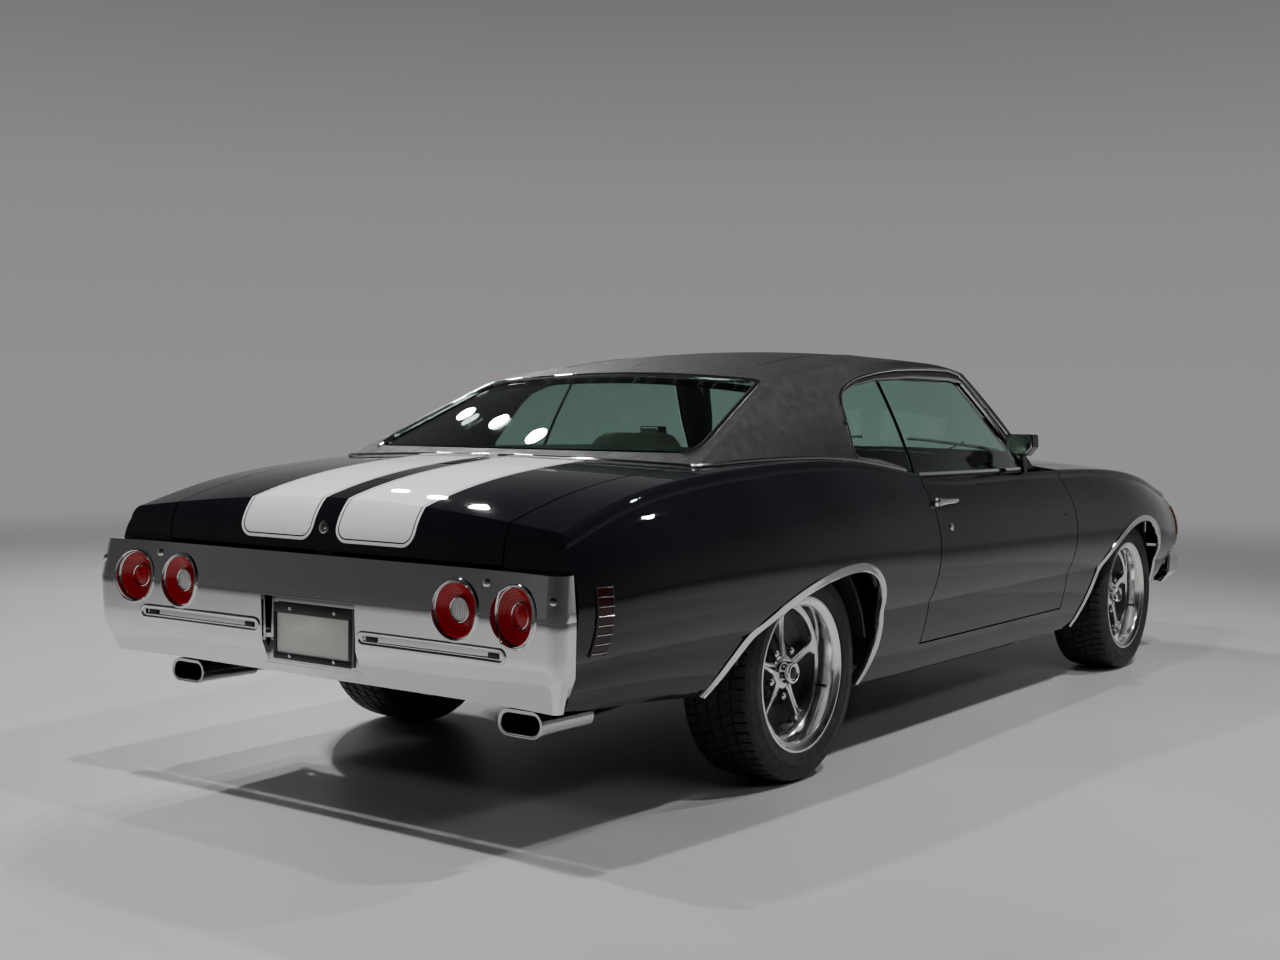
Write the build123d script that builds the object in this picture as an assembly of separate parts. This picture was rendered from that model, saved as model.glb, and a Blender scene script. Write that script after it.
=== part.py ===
from build123d import *

import math
import os

# Two-door muscle car coupe with a vinyl roof, modelled panel by panel.
# Millimetres. +X points forward, +Y to the car's left, +Z up. The origin lies on the floor, at the
# centre of the car's plan box. The body side is one lofted hull whose skin is split where the real
# panels meet, so doors, fenders, quarters, hood and boot lid share one continuous surface.

# ---------------------------------------------------------------- driving dimensions
LENGTH = 5016.0
WHEELBASE = 2845.0
REAR_OVERHANG = 1215.0
REAR_AXLE_X = -LENGTH / 2 + REAR_OVERHANG
FRONT_AXLE_X = REAR_AXLE_X + WHEELBASE

SKIN = 10.0            # fender, hood, lid and quarter skin with its return flanges
DOOR_THICKNESS = 95.0
GAP = 6.0              # shut line between neighbouring panels
SEAT_CLEARANCE = 0.3   # running gap where one fixed piece rests on another

# wheels and tyres
TYRE_RADIUS = 327.0
TYRE_WIDTH = 244.0
WHEEL_CENTRE_Y = 754.0
RIM_LIP_RADIUS = 236.0
RIM_WIDTH = 228.0
RIM_BEAD_RADIUS = 216.0
RIM_WALL = 7.0
HUB_RADIUS = 62.0
SPOKE_COUNT = 5
WHEEL_DISH = 78.0      # from the outer lip in to the spoke face
AXLE_STUB_RADIUS = 32.0
KINGPIN_Y = 640.0
RUNNING_CLEARANCE = 0.06
HINGE_PIN_RADIUS = 8.0

# shut lines and openings along the car
DOOR_REAR_X = -508.0
DOOR_FRONT_X = 790.0
DOOR_BOTTOM_Z = 338.0
COWL_X = 812.0
HOOD_FRONT_X = 2205.0
HOOD_HALF_WIDTH = 690.0
LID_FRONT_X = -1650.0      # at the lid's front corners
LID_FRONT_MID_X = -1742.0  # at its centre
LID_HALF_WIDTH = 655.0
BODY_REAR_X = -2426.0
BODY_FRONT_X = 2320.0
DOOR_HINGE_INSET_X = 110.0
DOOR_HINGE_Y = 895.0
DOOR_HINGE_ZS = (595.0, 710.0)
DOOR_FRONT_GAP = 8.0

# body hull: one row per cross-section, from tail to nose
# x, y_bot, z_bot, y_low, z_low, y_max, z_max, y_top, z_top, z_mid
HULL_COLUMNS = ("x", "y_bot", "z_bot", "y_low", "z_low", "y_max", "z_max", "y_top", "z_top", "z_mid")
HULL_TABLE = (
    (-2440.0, 792.0, 380.0, 846.0, 470.0, 898.0, 640.0, 856.0, 800.0, 838.0),
    (-2180.0, 802.0, 345.0, 872.0, 475.0, 926.0, 650.0, 842.0, 876.0, 912.0),
    (-1780.0, 815.0, 318.0, 888.0, 480.0, 946.0, 660.0, 830.0, 936.0, 964.0),
    (-1293.0, 820.0, 262.0, 900.0, 480.0, 956.0, 660.0, 832.0, 966.0, 990.0),
    (-860.0, 822.0, 240.0, 903.0, 480.0, 951.0, 660.0, 848.0, 958.0, 985.0),
    (-508.0, 822.0, 236.0, 900.0, 480.0, 943.0, 660.0, 866.0, 916.0, 965.0),
    (140.0, 818.0, 234.0, 890.0, 480.0, 933.0, 650.0, 856.0, 905.0, 960.0),
    (790.0, 812.0, 234.0, 882.0, 480.0, 924.0, 650.0, 842.0, 903.0, 962.0),
    (1180.0, 812.0, 236.0, 882.0, 480.0, 924.0, 650.0, 840.0, 898.0, 952.0),
    (1552.0, 812.0, 246.0, 882.0, 480.0, 926.0, 650.0, 838.0, 882.0, 937.0),
    (1950.0, 800.0, 300.0, 862.0, 462.0, 902.0, 630.0, 818.0, 834.0, 895.0),
    (2340.0, 755.0, 330.0, 806.0, 450.0, 842.0, 610.0, 775.0, 765.0, 822.0),
)
SHOULDER_RADIUS = 34.0

# side view of nose and tail
TAIL_TOP = (-2150.0, 1010.0)
TAIL_BEND = (-2195.0, 908.0)
TAIL_MID = (-2385.0, 846.0)
TAIL_EDGE_Z = 728.0
NOSE_BEND = (2120.0, 880.0)
NOSE_MID = (2262.0, 806.0)
NOSE_EDGE_Z = 700.0

# wheel arches in side view: offsets from the axle and heights
REAR_ARCH = ((-465.0, 250.0), (-455.0, 330.0), (-330.0, 478.0), (-130.0, 580.0), (110.0, 628.0),
             (300.0, 608.0), (418.0, 470.0), (430.0, 330.0), (405.0, 225.0))
FRONT_ARCH = ((-560.0, 190.0), (-500.0, 300.0), (-390.0, 478.0), (-210.0, 606.0), (20.0, 662.0),
              (230.0, 618.0), (352.0, 478.0), (368.0, 350.0), (340.0, 250.0))

# greenhouse: plan outline at three heights
# z, front_mid_x, front_corner_x, front_y, side_x, side_y, rear_corner_x, rear_y, rear_mid_x
HOUSE_COLUMNS = ("z", "front_mid", "front_x", "front_y", "side_x", "side_y", "rear_x", "rear_y",
                 "rear_mid")
HOUSE_TABLE = (
    (880.0, 838.0, 692.0, 792.0, -700.0, 850.0, -1820.0, 735.0, -1925.0),
    (975.0, 748.0, 600.0, 765.0, -700.0, 812.0, -1605.0, 705.0, -1705.0),
    (1130.0, 584.0, 464.0, 700.0, -640.0, 738.0, -1265.0, 645.0, -1345.0),
    (1290.0, 406.0, 314.0, 616.0, -560.0, 648.0, -905.0, 565.0, -965.0),
    (1400.0, 282.0, 206.0, 552.0, -520.0, 575.0, -650.0, 505.0, -700.0),
)
ROOF_PEAK = (-190.0, 1350.0)
ROOF_FRONT = (430.0, 1304.0)
ROOF_REAR = (-1040.0, 1256.0)
ROOF_SIDE_DROP = 62.0
ROOF_HALF_WIDTH = 960.0
ROOF_WALL = 42.0
GLASS_THICKNESS = 6.0
GLASS_GAP = 14.0
DOOR_TOP_Z = 898.0
PILLAR_FOOT_Z = 906.0
PILLAR_FOOT_Y = 728.0

# side window outline in side view
SIDE_GLASS = ((560.0, 890.0), (214.0, 1238.0), (90.0, 1248.0), (-264.0, 1248.0), (-520.0, 1234.0),
              (-673.0, 1211.0), (-770.0, 1178.0), (-800.0, 1140.0), (-866.0, 974.0), (-735.0, 965.0),
              (-600.0, 938.0), (-535.0, 890.0))
GLASS_SPLIT_LOW = (-509.0, 900.0)
GLASS_SPLIT_HIGH = (-492.0, 1290.0)

# rear bumper, by height: z, rear_mid_x, corner_x, side_y
BUMPER_COLUMNS = ("z", "mid_x", "corner_x", "side_y")
REAR_BUMPER_TABLE = (
    (372.0, -2444.0, -2464.0, 868.0),
    (462.0, -2478.0, -2502.0, 904.0),
    (600.0, -2484.0, -2508.0, 906.0),
    (712.0, -2466.0, -2490.0, 896.0),
)
REAR_BUMPER_EDGE_X = -2436.0
REAR_BUMPER_BEND = 40.0     # corner radius in plan
BUMPER_FLARE_Y = 560.0      # the face runs straight to here, then sweeps back
BUMPER_WALL = 14.0
BUMPER_INNER_X = 2250.0
BUMPER_BEND = 62.0
FRONT_BUMPER_TABLE = (
    (330.0, 2400.0, 2300.0, 800.0),
    (380.0, 2500.0, 2390.0, 838.0),
    (450.0, 2508.0, 2398.0, 842.0),
    (500.0, 2484.0, 2378.0, 830.0),
)

LAMP_Z = 604.0
LAMP_PLACES = ((750.0, 9.0), (546.0, 0.0))      # from the middle, and the turn of the axis in degrees
LAMP_FACE_X = -2489.0
LAMP_BACK_X = -2448.0
LAMP_RADIUS = 74.0
LAMP_BEZEL = 8.0
BUMPER_SLOT = (215.0, 700.0, 494.0, 510.0)     # inner and outer end, low and high edge
PLATE_Z = 492.0
PLATE_SIZE = (305.0, 152.0)
HEADLAMP_YS = (600.0, 446.0)
HEADLAMP_Z = 640.0
HEADLAMP_RADIUS = 68.0

FLOOR_Z = 262.0
FLOOR_THICKNESS = 14.0
SILL_Y = 715.0          # where the floor meets the rocker
SEAT_RISER_X = -560.0   # step up to the rear seat platform
PLATFORM_Z = 400.0
REAR_HOUSE_RADIUS = 380.0
REAR_HOUSE_Y = 590.0
REAR_HOUSE_EDGE_Y = 872.0
LINER_EDGE_Y = 836.0
APRON_OUTLINE = ((705.3, 425.0), (2180.0, 425.0), (2180.0, 806.0), (2000.0, 842.0), (1552.0, 896.0),
                 (1200.0, 908.0), (960.0, 908.0), (880.0, 870.0), (705.3, 860.0))
LOCK_PILLAR = ((708.0, 335.0), (848.0, 340.0), (880.0, 470.0), (915.0, 560.0), (925.0, 650.0),
               (915.0, 730.0), (890.0, 800.0), (845.0, 880.0), (800.0, 900.0), (708.0, 900.0))
HINGE_PILLAR = ((708.0, 340.0), (836.0, 340.0), (860.0, 470.0), (892.0, 560.0), (904.0, 640.0),
                (896.0, 720.0), (868.0, 800.0), (818.0, 876.0), (778.0, 893.0), (708.0, 893.0))
LINER_RADIUS = 402.0
APRON_Y = 437.0
CABIN_FRONT_X = 705.0
CABIN_REAR_X = -1060.0
TIP_Y = 662.0
TIP_Z = 312.0

# panel edges and return flanges
ROCKER_DEPTH = 150.0
DOOR_INNER_Y = 752.0
FLANGE_Y = 775.0           # lower return flange of the quarter
ROCKER_LAP = 55.0
DECK_HOLE_Y = 690.0
COWL_REAR_X = 575.0
COWL_HALF_WIDTH = 724.0
TAIL_PANEL_X = BODY_REAR_X + 30.0

# windshield and rear glass: low corner, high corner, top and bottom at the middle
WINDSHIELD = ((722.0, 972.0), (588.0, 1254.0), 1262.0, 975.0)
REAR_GLASS = ((655.0, 990.0), (561.0, 1215.0), 1241.0, 992.0)

GRILLE_BARS = 8
STUB_END = RIM_WIDTH / 2 - WHEEL_DISH - 24.0

OUT = "parts"


def rows(columns, table):
    """Each table row as a dictionary keyed by its column names."""
    return [dict(zip(columns, row)) for row in table]


def mirror_y(shape):
    """The other side of the car."""
    return mirror(shape, about=Plane.XZ)


def block(x0, x1, y0, y1, z0, z1):
    """Box between two corners."""
    return Pos((x0 + x1) / 2, (y0 + y1) / 2, (z0 + z1) / 2) * Box(x1 - x0, y1 - y0, z1 - z0)


def rod(p0, p1, radius):
    """Round bar between two points."""
    start, end = Vector(*p0), Vector(*p1)
    axis = end - start
    plane = Plane(origin=start, z_dir=axis)
    return plane * Pos(0, 0, axis.length / 2) * Cylinder(radius, axis.length)


def side_prism(points, y0, y1, smooth=False):
    """Prism across the car from an outline in side view. A smooth one runs a curve through its points."""
    if smooth:
        curve = Spline(*[(x, z) for x, z in points])
        outline = Wire([curve.edge(), Line(curve @ 1, curve @ 0).edge()])
    else:
        outline = Polyline(*points, close=True)
    face = make_face(outline.edges() if smooth else outline)
    solid = extrude(Plane.XZ * face, amount=-(y1 - y0))
    return Pos(0, y0, 0) * solid


# ---------------------------------------------------------------- hull
def hull_section(row, inset):
    """Closed cross-section: flat bottom, tucked sill, bulged side, rounded shoulder, crowned top."""
    y_bot, z_bot = row["y_bot"] - inset, row["z_bot"] + inset
    y_low, z_low = row["y_low"] - inset, row["z_low"]
    y_max, z_max = row["y_max"] - inset, row["z_max"]
    y_top, z_top = row["y_top"] - inset, row["z_top"] - inset
    z_mid = row["z_mid"] - inset
    r = SHOULDER_RADIUS
    side_high = (y_top, z_top - r)
    crown = (y_top - r, z_top)
    corner = (y_top - 0.28 * r, z_top - 0.28 * r)

    def flip(p):
        return (-p[0], p[1])

    low, bottom = (y_low, z_low), (y_bot, z_bot)
    tuck = ((y_low + y_bot) / 2 + 14.0, (z_low + z_bot) / 2)
    side = (y_max, z_max)
    edges = [
        Line(flip(bottom), bottom),
        ThreePointArc(bottom, tuck, low),
        ThreePointArc(low, side, side_high),
        ThreePointArc(side_high, corner, crown),
        ThreePointArc(crown, (0, z_mid), flip(crown)),
        ThreePointArc(flip(crown), flip(corner), flip(side_high)),
        ThreePointArc(flip(side_high), flip(side), flip(low)),
        ThreePointArc(flip(low), flip(tuck), flip(bottom)),
    ]
    face = make_face(edges)
    return Plane(origin=(row["x"], 0, 0), x_dir=(0, 1, 0), z_dir=(1, 0, 0)) * face


def end_profile(inset):
    """Side view that rounds the hull off at nose and tail."""
    tail_x, nose_x = BODY_REAR_X + inset, BODY_FRONT_X - inset
    tail = [(tail_x, 100), (tail_x, TAIL_EDGE_Z - inset)]
    nose = [(nose_x, NOSE_EDGE_Z - inset), (nose_x, 100)]
    bend_t = (TAIL_BEND[0], TAIL_BEND[1] - inset)
    bend_n = (NOSE_BEND[0], NOSE_BEND[1] - inset)
    edges = [
        Line(tail[0], tail[1]),
        ThreePointArc(tail[1], (TAIL_MID[0] + 0.7 * inset, TAIL_MID[1] - 0.7 * inset), bend_t),
        Line(bend_t, (TAIL_TOP[0] + 300, TAIL_TOP[1] + 60)),
        Line((TAIL_TOP[0] + 300, TAIL_TOP[1] + 60), (NOSE_BEND[0] - 300, 1070)),
        Line((NOSE_BEND[0] - 300, 1070), bend_n),
        ThreePointArc(bend_n, (NOSE_MID[0] - 0.7 * inset, NOSE_MID[1] - 0.7 * inset), nose[0]),
        Line(nose[0], nose[1]),
        Line(nose[1], tail[0]),
    ]
    face = make_face(edges)
    return Pos(0, -1100, 0) * extrude(Plane.XZ * face, amount=-2200)


def hull(inset):
    """Solid body hull, its faces moved inwards by inset."""
    body = loft([hull_section(row, inset) for row in rows(HULL_COLUMNS, HULL_TABLE)])
    return body & end_profile(inset)


def arch_cutter(points, axle_x, side):
    """Wheel opening, cut through the body side."""
    outline = [(axle_x + dx, z) for dx, z in points]
    y0, y1 = (560.0, 1000.0) if side > 0 else (-1000.0, -560.0)
    return side_prism(outline, y0, y1, smooth=True)


# ---------------------------------------------------------------- greenhouse
def house_outline(row, inset):
    """Plan outline of the cabin at one height."""
    y_f, y_s, y_r = row["front_y"] - inset, row["side_y"] - inset, row["rear_y"] - inset
    front_mid, front_x = row["front_mid"] - inset, row["front_x"] - inset
    rear_mid, rear_x = row["rear_mid"] + inset, row["rear_x"] + inset
    edges = [
        ThreePointArc((front_x, y_f), (front_mid, 0), (front_x, -y_f)),
        ThreePointArc((front_x, -y_f), (row["side_x"], -y_s), (rear_x, -y_r)),
        ThreePointArc((rear_x, -y_r), (rear_mid, 0), (rear_x, y_r)),
        ThreePointArc((rear_x, y_r), (row["side_x"], y_s), (front_x, y_f)),
    ]
    return Pos(0, 0, row["z"]) * make_face(edges)


def roof_dome(inset):
    """Solid under the roof skin: a side-view arc swept over a crowned cross-section."""
    peak = (ROOF_PEAK[0], ROOF_PEAK[1] - inset)
    front = (ROOF_FRONT[0], ROOF_FRONT[1] - inset)
    rear = (ROOF_REAR[0], ROOF_REAR[1] - inset)
    spine = ThreePointArc(rear, peak, front)
    half = ROOF_HALF_WIDTH
    sections = []
    for t in (-0.75, 0.0, 0.5, 1.0, 1.6):
        if 0 <= t <= 1:
            x, z = (spine @ t).X, (spine @ t).Y
        else:
            anchor, tangent = (spine @ (1 if t > 1 else 0)), (spine % (1 if t > 1 else 0))
            run = (t - 1 if t > 1 else t) * 1400.0
            x, z = anchor.X + tangent.X * run, anchor.Y + tangent.Y * run
        crown = ThreePointArc((-half, z - ROOF_SIDE_DROP * 1.45), (0, z), (half, z - ROOF_SIDE_DROP * 1.45))
        low = 300.0
        face = make_face([
            crown,
            Line((half, z - ROOF_SIDE_DROP * 1.45), (half, low)),
            Line((half, low), (-half, low)),
            Line((-half, low), (-half, z - ROOF_SIDE_DROP * 1.45)),
        ])
        sections.append(Plane(origin=(x, 0, 0), x_dir=(0, 1, 0), z_dir=(1, 0, 0)) * face)
    return sections


def house(inset):
    """Solid greenhouse, its faces moved inwards by inset."""
    body = loft([house_outline(row, inset) for row in rows(HOUSE_COLUMNS, HOUSE_TABLE)])
    dome = loft(roof_dome(inset))
    return body & dome


# ---------------------------------------------------------------- body panels


def lid_outline(grow):
    """Boot lid in plan, with its bowed front edge."""
    y = LID_HALF_WIDTH + grow
    front, mid = LID_FRONT_X + grow, LID_FRONT_MID_X + grow
    rear = BODY_REAR_X - 100
    return make_face([
        ThreePointArc((front, y), (mid, 0), (front, -y)),
        Line((front, -y), (rear, -y)),
        Line((rear, -y), (rear, y)),
        Line((rear, y), (front, y)),
    ])


def body_panels(outer):
    """Quarter, door, rocker and fender of the left side, then hood, boot lid and cowl."""
    skin = outer - hull(SKIN)
    rear_arch = arch_cutter(REAR_ARCH, REAR_AXLE_X, 1)
    front_arch = arch_cutter(FRONT_ARCH, FRONT_AXLE_X, 1)
    lid_hole = Pos(0, 0, 560) * extrude(lid_outline(GAP), amount=600)
    far = 1100.0

    quarter = skin & block(BODY_REAR_X - 50, DOOR_REAR_X - GAP, 0, far, 100, far)
    quarter -= lid_hole
    quarter -= block(BODY_REAR_X - 50, 0, -1, FLANGE_Y, 100, 640)
    quarter -= block(BODY_REAR_X - 50, 0, -1, DECK_HOLE_Y - 30, 600, 700)
    quarter -= block(LID_FRONT_MID_X - 30, 0, -1, DECK_HOLE_Y, 700, far)
    quarter -= rear_arch

    door = (outer - hull(DOOR_THICKNESS)) & block(
        DOOR_REAR_X, DOOR_FRONT_X, DOOR_INNER_Y, far, DOOR_BOTTOM_Z, DOOR_TOP_Z)
    axis_x = DOOR_FRONT_X - DOOR_HINGE_INSET_X
    door &= Pos(axis_x, DOOR_HINGE_Y, 600) * Cylinder(axis_x - DOOR_REAR_X, 1200)
    for z in DOOR_HINGE_ZS:
        door -= block(axis_x - 22, DOOR_FRONT_X + 10, DOOR_INNER_Y - 50, DOOR_HINGE_Y + 7, z - 20, z + 20)
        door -= Pos(axis_x, DOOR_HINGE_Y, z) * Cylinder(22, 40)
        door -= Pos(axis_x, DOOR_HINGE_Y, z) * Cylinder(HINGE_PIN_RADIUS + RUNNING_CLEARANCE, 84)
    rocker = (outer - hull(ROCKER_DEPTH)) & block(
        DOOR_REAR_X - GAP + SEAT_CLEARANCE, DOOR_FRONT_X + ROCKER_LAP, SILL_Y + SEAT_CLEARANCE, far, 100,
        DOOR_BOTTOM_Z - GAP)

    fender = skin & block(DOOR_FRONT_X + DOOR_FRONT_GAP, BODY_FRONT_X + 50, 0, far, 100, far)
    fender -= block(COWL_X - GAP, BODY_FRONT_X + 50, -1, HOOD_HALF_WIDTH + GAP, 560, far)
    fender -= block(DOOR_FRONT_X - 50, COWL_X - GAP + 1, -1, COWL_HALF_WIDTH + SEAT_CLEARANCE, 560, far)
    fender -= block(DOOR_FRONT_X, DOOR_FRONT_X + ROCKER_LAP + SEAT_CLEARANCE, 0, far, 100,
                    DOOR_BOTTOM_Z - GAP + SEAT_CLEARANCE)
    fender -= block(0, BODY_FRONT_X + 50, -1, HOOD_HALF_WIDTH, 100, 700)
    fender -= block(BUMPER_INNER_X - 6, BODY_FRONT_X + 50, -1, far, 100, 507)
    fender -= block(FRONT_AXLE_X, FRONT_AXLE_X + 470, -1, 800, 100, 440)
    fender -= front_arch

    hood = skin & block(COWL_X, HOOD_FRONT_X, -HOOD_HALF_WIDTH, HOOD_HALF_WIDTH, 700, far)
    lid = (skin & (Pos(0, 0, TAIL_EDGE_Z - 8) * extrude(lid_outline(0), amount=500)))
    cowl = skin & block(COWL_REAR_X, COWL_X - GAP, -COWL_HALF_WIDTH, COWL_HALF_WIDTH, 700, far)
    side = DECK_HOLE_Y - SEAT_CLEARANCE
    deck = (skin & block(LID_FRONT_MID_X - 29, CABIN_REAR_X - 30, -side, side, 850, far)) - lid_hole
    return quarter, door, rocker, fender, hood, lid, cowl, deck


def main_solid(shape):
    """Largest solid of a cut, so that no sliver is kept."""
    return max(shape.solids(), key=lambda s: s.volume)


# ---------------------------------------------------------------- roof and glass


def end_window(shape, grow, x0, x1):
    """Prism along the car for the windshield or the rear glass."""
    (y_low, z_low), (y_high, z_high), top, bottom = shape
    y_low, z_low, y_high, z_high = y_low + grow, z_low - grow, y_high + grow, z_high + grow
    face = make_face([
        ThreePointArc((-y_low, z_low), (0, bottom - grow), (y_low, z_low)),
        Line((y_low, z_low), (y_high, z_high)),
        ThreePointArc((y_high, z_high), (0, top + grow), (-y_high, z_high)),
        Line((-y_high, z_high), (-y_low, z_low)),
    ])
    face = fillet(face.vertices(), 26.0 + grow)
    return Pos(x0, 0, 0) * extrude(Plane.YZ * face, amount=x1 - x0)


def side_window(grow):
    """Prism across one side for the side glass opening."""
    face = make_face(Polyline(*SIDE_GLASS, close=True))
    face = fillet(face.vertices(), 16.0)
    if grow:
        face = offset(face, amount=grow)
    return Pos(0, 300, 0) * extrude(Plane.XZ * face, amount=-700)


def split_half(front, gap):
    """Half-space before or behind the slanted line between door glass and quarter glass."""
    (x0, z0), (x1, z1) = GLASS_SPLIT_LOW, GLASS_SPLIT_HIGH
    lean = (x1 - x0) / (z1 - z0)
    low, high = (x0 - lean * 200, z0 - 200), (x1 + lean * 200, z1 + 200)
    far = 2000.0 if front else -2000.0
    shift = gap / 2 if front else -gap / 2
    return side_prism([(low[0] + shift, low[1]), (high[0] + shift, high[1]), (far, high[1]), (far, low[1])], 0, 1000)


def roof_and_glass(outer):
    """Roof with its pillars and sail panels, and the six panes."""
    solid = house(0)
    roof = solid - house(ROOF_WALL)
    roof -= hull(-SEAT_CLEARANCE)
    roof -= end_window(WINDSHIELD, 0, 150, 900)
    roof -= end_window(REAR_GLASS, 0, -2000, -700)
    roof -= side_window(0)
    roof -= mirror_y(side_window(0))
    door_zone = block(DOOR_REAR_X - 200, DOOR_FRONT_X + 60, PILLAR_FOOT_Y, 1000, 800, PILLAR_FOOT_Z)
    roof -= door_zone
    roof -= mirror_y(door_zone)
    roof = main_solid(roof)

    pane = house(10) - house(10 + 2 * GLASS_THICKNESS)
    end_pane = house(12) - house(12 + 3 * GLASS_THICKNESS)
    above = block(-3000, 3000, -1000, 1000, 800, 1400) - hull(-SEAT_CLEARANCE)
    windshield = main_solid((pane & end_window(WINDSHIELD, -SEAT_CLEARANCE, 150, 900)) & above)
    rear_glass = main_solid((end_pane & end_window(REAR_GLASS, -SEAT_CLEARANCE, -2000, -700)) & above)
    pane_left = pane & side_window(-SEAT_CLEARANCE)
    quarter_glass = main_solid((pane_left & split_half(False, GLASS_GAP)) & above)
    door_glass = main_solid((pane & side_window(-GAP)) & split_half(True, GLASS_GAP)
                            & block(-3000, 3000, 0, 1000, DOOR_TOP_Z, 1400))
    return roof, windshield, rear_glass, quarter_glass, door_glass


# ---------------------------------------------------------------- bumpers and lamps
def bumper_outline(row, inset, front_x, sign):
    """Plan outline of a bumper: face, rounded corners, straight returns along the body side."""
    mid, corner, y = row["mid_x"] - sign * inset, row["corner_x"] - sign * inset, row["side_y"] - inset
    bend = min(REAR_BUMPER_BEND if sign < 0 else BUMPER_BEND, abs(corner - front_x) - 6)
    start = y - bend
    if sign < 0:
        flare, flare_x = BUMPER_FLARE_Y, mid + 0.25 * (corner - mid)
        face = [
            ThreePointArc((corner, -start), (flare_x, -(start + flare) / 2), (mid, -flare)),
            Line((mid, -flare), (mid, flare)),
            ThreePointArc((mid, flare), (flare_x, (start + flare) / 2), (corner, start)),
        ]
    else:
        face = [ThreePointArc((corner, -start), (mid, 0), (corner, start))]
    edges = face + [
        ThreePointArc((corner, start), (corner - sign * 0.25 * bend, y - 0.25 * bend),
                      (corner - sign * bend, y)),
        Line((corner - sign * bend, y), (front_x, y - 4)),
        Line((front_x, y - 4), (front_x, -(y - 4))),
        Line((front_x, -(y - 4)), (corner - sign * bend, -y)),
        ThreePointArc((corner - sign * bend, -y), (corner - sign * 0.25 * bend, -(y - 0.25 * bend)),
                      (corner, -start)),
    ]
    return Pos(0, 0, row["z"]) * make_face(edges)


def bumper_solid(table, inset, inner_x, sign):
    """Solid inside a bumper's outer face, moved inwards by inset."""
    return loft([bumper_outline(r, inset, inner_x, sign) for r in rows(BUMPER_COLUMNS, table)], ruled=True)


def bumper_shell(table, inner_x, sign):
    """Pressed bumper bar, open towards the body."""
    shrunk = [dict(r) for r in rows(BUMPER_COLUMNS, table)]
    shrunk[0]["z"] -= 1
    shrunk[-1]["z"] -= BUMPER_WALL
    inner = loft([bumper_outline(r, BUMPER_WALL, inner_x - sign * 40, sign) for r in shrunk], ruled=True)
    return bumper_solid(table, 0, inner_x, sign) - inner


def x_cylinder(x0, x1, y, z, radius):
    """Cylinder lying along the car."""
    return Pos((x0 + x1) / 2, y, z) * Rot(0, 90, 0) * Cylinder(radius, abs(x1 - x0))


def lamp_lens(x_back, y, z, radius, depth, bulge, sign):
    """Round lens with a domed face, its back at x_back."""
    profile = make_face([
        Line((0, 0), (radius, 0)),
        Line((radius, 0), (radius, depth)),
        ThreePointArc((radius, depth), (radius * 0.55, depth + bulge * 0.72), (2, depth + bulge)),
        Line((2, depth + bulge), (0, depth + bulge)),
        Line((0, depth + bulge), (0, 0)),
    ])
    lens = revolve(Plane.XZ * profile, Axis.Z)
    return Pos(x_back, y, z) * Rot(0, 90 * sign, 0) * lens


def tail_lens():
    """Round lens: a shallow dish with a raised centre, its back on the XY plane."""
    r, boss = LAMP_RADIUS - SEAT_CLEARANCE, 0.42 * LAMP_RADIUS
    profile = make_face(Polyline((0, 0), (r, 0), (r, 18), (boss, 8), (boss - 1, 18), (boss - 8, 20), (0, 21),
                                 close=True))
    return revolve(Plane.XZ * profile, Axis.Z)


def lamp_planes():
    """Planes at the backs of the four tail lamps, facing rearwards."""
    planes = []
    for y, turn in LAMP_PLACES:
        for side in (1, -1):
            slope = math.radians(turn)
            aim = (-math.cos(slope), -side * math.sin(slope), 0)
            back = (LAMP_BACK_X, side * y, LAMP_Z)
            planes.append(Plane(origin=back, x_dir=(0, 0, 1), z_dir=aim))
    return planes


def rear_bumper_and_lamps():
    """Full-width rear bumper with four lamp cups, two slots and a plate pocket, the lamps and the plate."""
    bar = bumper_shell(REAR_BUMPER_TABLE, REAR_BUMPER_EDGE_X, -1)
    proud = bumper_solid(REAR_BUMPER_TABLE, -2.5, REAR_BUMPER_EDGE_X, -1)
    reach = LAMP_BACK_X - LAMP_FACE_X + 40
    for plane in lamp_planes():
        bar += (plane * Pos(0, 0, reach / 2) * Cylinder(LAMP_RADIUS + LAMP_BEZEL, reach)) & proud
        bar += plane * Pos(0, 0, -4) * Cylinder(LAMP_RADIUS + LAMP_BEZEL, 8)
        bar -= plane * Pos(0, 0, reach / 2) * Cylinder(LAMP_RADIUS, reach)
    y0, y1, z0, z1 = BUMPER_SLOT
    for side in (1, -1):
        bar -= block(-2600, -2473, *sorted((side * y0, side * y1)), z0, z1)
    wide, high = PLATE_SIZE[0] / 2, PLATE_SIZE[1] / 2
    bar += block(-2455, -2445, -wide - 44, wide + 44, PLATE_Z - high - 20, PLATE_Z + high + 32)
    bar -= block(-2600, -2455, -wide - 34, wide + 34, PLATE_Z - high - 10, PLATE_Z + high + 22)
    for y in (500, -500):
        bar += block(-2460, -2270.3, y - 20, y + 20, 420, 460)
    lens = tail_lens()
    lamps = [plane * Pos(0, 0, SEAT_CLEARANCE) * lens for plane in lamp_planes()]
    back = -2455 - SEAT_CLEARANCE
    plate = block(back - 5, back, -wide, wide, PLATE_Z - high, PLATE_Z + high)
    return bar, Compound(lamps), plate


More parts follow.
